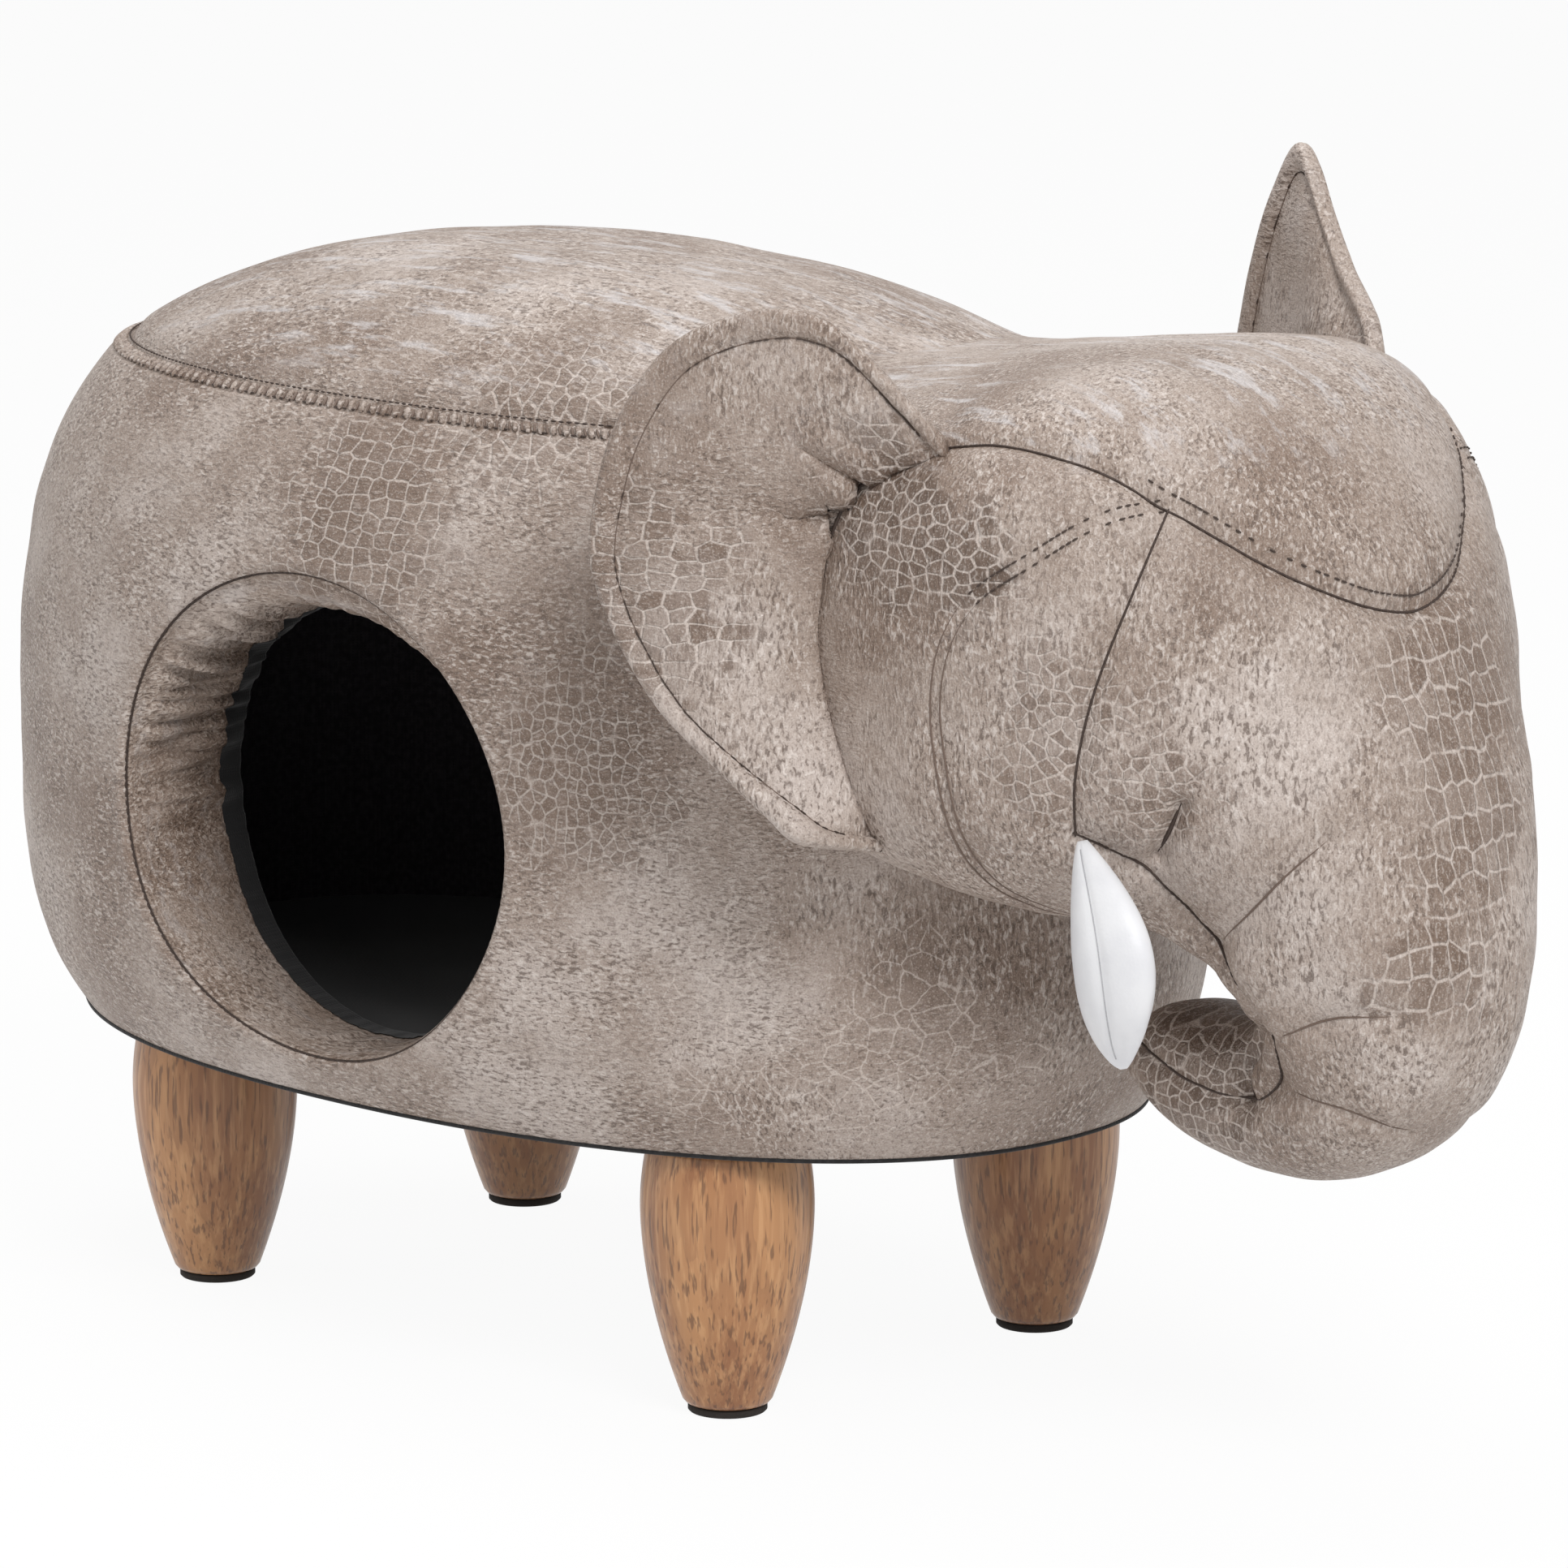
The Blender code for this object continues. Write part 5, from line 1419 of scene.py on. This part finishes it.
MIRROR = {"right": np.array((1, 1, 1)), "left": np.array((1, -1, 1))}


def ear_axes(label):
    """The way out along the ear and the way its inner side faces, both for the right side of the head."""
    away = np.array((-math.cos(EAR_FLARE[label]), -math.sin(EAR_FLARE[label]), 0.0))
    away = units(away - EAR_RISE * away.dot(EAR_RISE))
    return away, units(-np.cross(away, EAR_RISE))


def ear_rim_path(label):
    """The ear's outer edge, from the top of its root to the bottom."""
    away, face = ear_axes(label)
    path = [np.array(EAR_ROOT[0])] + [np.array(point) for point in EAR_FRONT[label]]
    for u, v in EAR_RIM[label] + EAR_LOWER_RIM:
        path.append(EAR_FOOT + away * u + EAR_RISE * v + face * 0.004)
    path.append(np.array(EAR_ROOT[-1]))
    path = np.array(path)
    share = np.clip((path[:, 2] - EAR_FOOT[2] - EAR_LIFT_FROM) / (EAR_TOP - EAR_LIFT_FROM), 0, 1.1)
    share[:len(EAR_FRONT_LIFT)] *= EAR_FRONT_LIFT
    path[:, 2] += EAR_LIFT[label] * share ** 2
    return path


def ear_net(label):
    """Mid surface of an ear as rows from root to rim, with its normals and its depth from the rim.

    Both ears are made on the right side of the head, and the left one is mirrored later.
    """
    face = ear_axes(label)[1]
    root = on_surface(skin_tree, even_steps(smooth_path(EAR_ROOT), EAR_COLUMNS))[0]
    rim = even_steps(smooth_path(ear_rim_path(label)), EAR_COLUMNS)
    rim[0], rim[-1] = root[0], root[-1]
    reach = np.linalg.norm(rim - root, axis=1)
    rows = 1 - np.linspace(1, 0, EAR_ROWS) ** 1.8
    net = np.empty((EAR_ROWS, EAR_COLUMNS, 3))
    for k, r in enumerate(rows):
        line = root + (rim - root) * r
        bulge = EAR_BULGE * np.sin(math.pi * r) * np.minimum(reach / 0.06, 1)
        lean = EAR_LEAN * (np.sqrt((line[:, 2] - FOLD_Z) ** 2 + FOLD_ROUND ** 2) - FOLD_ROUND) * r
        fold = EAR_FOLD * np.exp(-((line[:, 2] - FOLD_Z - 0.002) / FOLD_WIDTH) ** 2) * (1 - r) ** 0.5
        for a, b in np.array(EAR_PINCHES):
            t = np.clip(((line - a) @ (b - a)) / ((b - a) @ (b - a)), 0, 1)
            gap = line - (a + t[:, None] * (b - a))
            gap = np.linalg.norm(gap - np.outer(gap @ face, face), axis=1)
            pinch = PINCH_DEPTH * np.exp(-(gap / PINCH_WIDTH) ** 2)
            pinch -= PINCH_RISE * np.exp(-((gap - PINCH_RISE_AT) / PINCH_RISE_WIDTH) ** 2)
            fold = fold + pinch * t ** 0.6
        fade = np.minimum(reach / 0.03, 1) * np.minimum(r / 0.02, 1)
        net[k] = line + face * ((bulge + lean - fold) * fade)[:, None]
    soft = lumps(net.reshape(-1, 3), 26, 31).reshape(EAR_ROWS, EAR_COLUMNS)
    net += face * (EAR_SOFT * soft * rows[:, None] * np.minimum(reach / 0.03, 1))[:, :, None]
    down, along = np.gradient(net, axis=0), np.gradient(net, axis=1)
    normals = np.cross(along, down)
    normals = units(normals * np.sign(normals @ face)[:, :, None])
    normals[:, (0, -1)] = face
    return net, normals, (1 - rows)[:, None] * reach[None, :]


def ear_half(depth):
    """Half thickness: a round rim, a stitched groove, then thin padding."""
    middle = TOPSTITCH_IN * 0.48
    rim = np.maximum(0, 1 - (np.abs(depth - middle) / middle) ** 2.6) ** (1 / 2.4) * RIM_RADIUS
    inner = np.maximum(depth - TOPSTITCH_IN, 0)
    pad = RIM_THIN + EAR_PAD * (1 - np.exp(-(inner / EAR_PAD_START) ** 1.3))
    return np.where(depth < TOPSTITCH_IN, np.maximum(rim, np.minimum(depth, RIM_THIN)), pad)


def build_ear(label):
    """An ear flap with its edge stitching."""
    net, normals, depth = ear_net(label)
    half = ear_half(depth)[:, :, None]
    flip = MIRROR[label]
    front = ((net + normals * half) * flip).reshape(-1, 3)
    back = ((net - normals * half) * flip).reshape(-1, 3)
    quads = grid_faces(EAR_ROWS, EAR_COLUMNS, False)
    count = EAR_ROWS * EAR_COLUMNS
    faces = quads + [tuple(count + i for i in reversed(f)) for f in quads]
    faces += [(c + 1, c, count + c, count + c + 1) for c in range(EAR_COLUMNS - 1)]
    ear = new_piece("ear_flap_" + label, np.vstack([front, back]), faces, EAR_LEATHER)
    outward(ear, 2e-5)
    at_rest = ear.data.attributes.new(REST_PLACE, "FLOAT_VECTOR", "POINT")
    at_rest.data.foreach_set("vector", np.array([v.co for v in ear.data.vertices], np.float32).ravel())
    tree = surface_of(ear.data)
    kept = [c for c in range(EAR_COLUMNS) if depth[0, c] > EAR_STITCH_LEAST]
    lines = []
    for way in (1, -1):
        path = []
        for c in kept:
            inside = np.interp(TOPSTITCH_IN, depth[::-1, c], np.arange(EAR_ROWS)[::-1])
            k = min(int(inside), EAR_ROWS - 2)
            t = inside - k
            spot = net[k, c] * (1 - t) + net[k + 1, c] * t
            path.append((spot + way * normals[k, c] * RIM_RADIUS / 2) * flip)
        lines.append(on_surface(tree, smooth_path(path[::3])))
    root_line = on_surface(skin_tree, smooth_path(EAR_ROOT) * flip)
    threads = thread_tube("ear_threads_" + label, lines, EAR_EDGE_RADIUS, STITCH_THREAD_AND_SHADE)
    # A thick dark line along the ear's root: partly its seam, partly painted shade where the ear meets the head.
    root_seam_and_shade = thread_tube("ear_root_seam_and_shade_" + label, [root_line], EAR_ROOT_SEAM_AND_SHADE_RADIUS, DARK_THREAD_AND_SHADE)
    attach(root_seam_and_shade, "pouf")
    rows = [stitch_row(*line, *EAR_STITCHES) for line in lines]
    stitches = sewn_marks("ear_stitches_" + label, rows, *EAR_BEAD, DARK_THREAD_AND_SHADE)
    for piece in (ear, threads, stitches):
        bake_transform(piece)
    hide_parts("ear_" + label)
    return ear


for label in ("right", "left"):
    made = build_ear(label)
    print(made.name, len(made.data.polygons), "faces")

# %% [markdown]
# ## Tusks
#
# The tusks are small stuffed leaves of white leather. Two panels meet in a seam down the middle, and
# the stuffing pulls little puckers in at the tip. A loft with a groove where the seam runs does it.

# %% Tusk shape
TUSK_ROOT_AT = np.array((0.2635, -0.1114, 0.2506))
TUSK_LENGTH, TUSK_WIDTH, TUSK_THICKNESS, TUSK_ROOT, TUSK_FULLEST = 0.082, 0.036, 0.020, 0.003, 0.56
TUSK_LEAN = {"right": math.radians(14), "left": math.radians(-4)}
TUSK_BOW = {"right": 0.012, "left": 0.0}
TUSK_SEAM_TURN = math.radians(84)
TUSK_ROWS, TUSK_POINTS = 56, 64
TUSK_GROOVE, TUSK_GROOVE_WIDTH = 0.10, 0.16
TUSK_THREAD_SIZE = 0.905


def tusk_section(share):
    """Half width and half thickness of a tusk at a share of its length."""
    swell = max(math.sin(math.pi * share ** (math.log(0.5) / math.log(TUSK_FULLEST))), 0.0) ** 0.7
    base = TUSK_ROOT / 2 * (1 - share * 0.6)
    return base + (TUSK_WIDTH - TUSK_ROOT) / 2 * swell, base + (TUSK_THICKNESS - TUSK_ROOT) / 2 * swell


def groove_gap(turn, side):
    """Angle between a place round a tusk and one of its two seams."""
    gap = turn - TUSK_SEAM_TURN - side
    return math.atan2(math.sin(gap), math.cos(gap))


def build_tusk(label):
    """A stuffed tusk and the thread in its seam."""
    flip = MIRROR[label]
    lean = TUSK_LEAN[label]
    down = np.array((math.sin(lean), 0, -math.cos(lean)))
    across = np.array((math.cos(lean), 0, math.sin(lean)))
    out = np.array((0.0, -1.0, 0.0))
    points, seam = [], []
    for k in range(TUSK_ROWS + 1):
        share = 0.004 + 0.992 * k / TUSK_ROWS
        half, deep = tusk_section(share)
        centre = TUSK_ROOT_AT + down * (TUSK_LENGTH * share) + out * (deep - TUSK_ROOT / 2)
        centre = centre + across * (TUSK_BOW[label] * math.sin(math.pi * share))
        for j in range(TUSK_POINTS):
            turn = 2 * math.pi * j / TUSK_POINTS
            groove = sum(TUSK_GROOVE * math.exp(-(groove_gap(turn, side) / TUSK_GROOVE_WIDTH) ** 2)
                         for side in (0, math.pi))
            pucker = 0.05 * lump((6 * math.cos(turn), 6 * math.sin(turn), 14 * share), 0.55, 41) * (0.10 + share ** 5)
            size = 1 - groove * min(1, 6 * (1 - share)) + pucker
            points.append((centre + across * (half * size * math.cos(turn))
                           + out * (deep * size * math.sin(turn))) * flip)
        seam.append((centre + across * (half * TUSK_THREAD_SIZE * math.cos(TUSK_SEAM_TURN))
                     + out * (deep * TUSK_THREAD_SIZE * math.sin(TUSK_SEAM_TURN))) * flip)
    last = TUSK_ROWS * TUSK_POINTS
    faces = grid_faces(TUSK_ROWS + 1, TUSK_POINTS, True)
    faces += [tuple(range(TUSK_POINTS)), tuple(range(last, last + TUSK_POINTS))]
    tusk = new_piece("tusk_" + label + "_stuffed", points, faces, WHITE_LEATHER)
    outward(tusk)
    path = on_surface(surface_of(tusk.data), smooth_path(np.array(seam[2:-1:3])))
    line = thread_tube("tusk_" + label + "_seam", [path], TUSK_RADIUS, WHITE_THREAD)
    for piece in (tusk, line):
        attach(piece, "tusk_" + label)
    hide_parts("tusk_" + label)
    return tusk


for label in ("right", "left"):
    made = build_tusk(label)
    print(made.name, len(made.data.polygons), "faces")

# %% [markdown]
# ## Legs
#
# The legs are turned from light hardwood: they swell under the tub and taper to a small foot with an
# eased edge, on a thin felt pad. A turned shape is a profile that is spun, so each leg is a ring of
# points for every height. The grain comes from the tub's own coordinates, so no two legs match.

# %% Legs and pads
LEG_FOOT_RADIUS, LEG_BELLY_RADIUS, LEG_TOP_RADIUS = 0.0164, 0.0327, 0.0296
LEG_BELLY_DROP, LEG_TAPER_POWER = 0.026, 1.8
LEG_ROUND = 96


def leg_radius(height, tall):
    """Radius of a leg at one height above its foot."""
    belly = tall - LEG_BELLY_DROP
    if height < belly:
        return LEG_BELLY_RADIUS - (LEG_BELLY_RADIUS - LEG_FOOT_RADIUS) * ((belly - height) / belly) ** LEG_TAPER_POWER
    return LEG_BELLY_RADIUS - (LEG_BELLY_RADIUS - LEG_TOP_RADIUS) * ((height - belly) / LEG_BELLY_DROP) ** 2


def spun(name, profile, middle, finish):
    """A closed turned shape from its (radius, height) profile, listed upwards."""
    points = []
    for radius, height in profile:
        for k in range(LEG_ROUND):
            turn = 2 * math.pi * k / LEG_ROUND
            points.append((middle[0] + radius * math.cos(turn), middle[1] + radius * math.sin(turn), height))
    last = (len(profile) - 1) * LEG_ROUND
    faces = grid_faces(len(profile), LEG_ROUND, True)
    faces += [tuple(reversed(range(LEG_ROUND))), tuple(range(last, last + LEG_ROUND))]
    made = new_piece(name, points, faces, finish)
    outward(made)
    made.data.set_sharp_from_angle(angle=math.radians(50))
    return made


for corner in ("front_right", "front_left", "rear_right", "rear_left"):
    low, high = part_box("leg_" + corner)
    middle, tall = ((low[0] + high[0]) / 2, (low[1] + high[1]) / 2), high[2] - low[2]
    profile = [(LEG_FOOT_RADIUS - 0.0016, low[2]), (LEG_FOOT_RADIUS - 0.0005, low[2] + 0.0004)]
    profile += [(leg_radius(h, tall), low[2] + h) for h in np.linspace(0.0018, tall - 0.0010, 48)]
    profile += [(leg_radius(tall, tall) - 0.0008, high[2])]
    leg = spun("turned_leg_" + corner, profile, middle, TURNED_WOOD)
    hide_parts("leg_" + corner)
    low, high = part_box("leg_pad_" + corner)
    wide = (high[0] - low[0]) / 2
    pad = spun("felt_pad_" + corner, [(wide - 0.0006, low[2]), (wide, low[2] + 0.0006), (wide, high[2] - 0.0005),
                                      (wide - 0.0005, high[2])], middle, FOOT_FELT)
    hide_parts("leg_pad_" + corner)
    for piece in (leg, pad):
        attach(piece, "pouf")
print("legs and pads made")
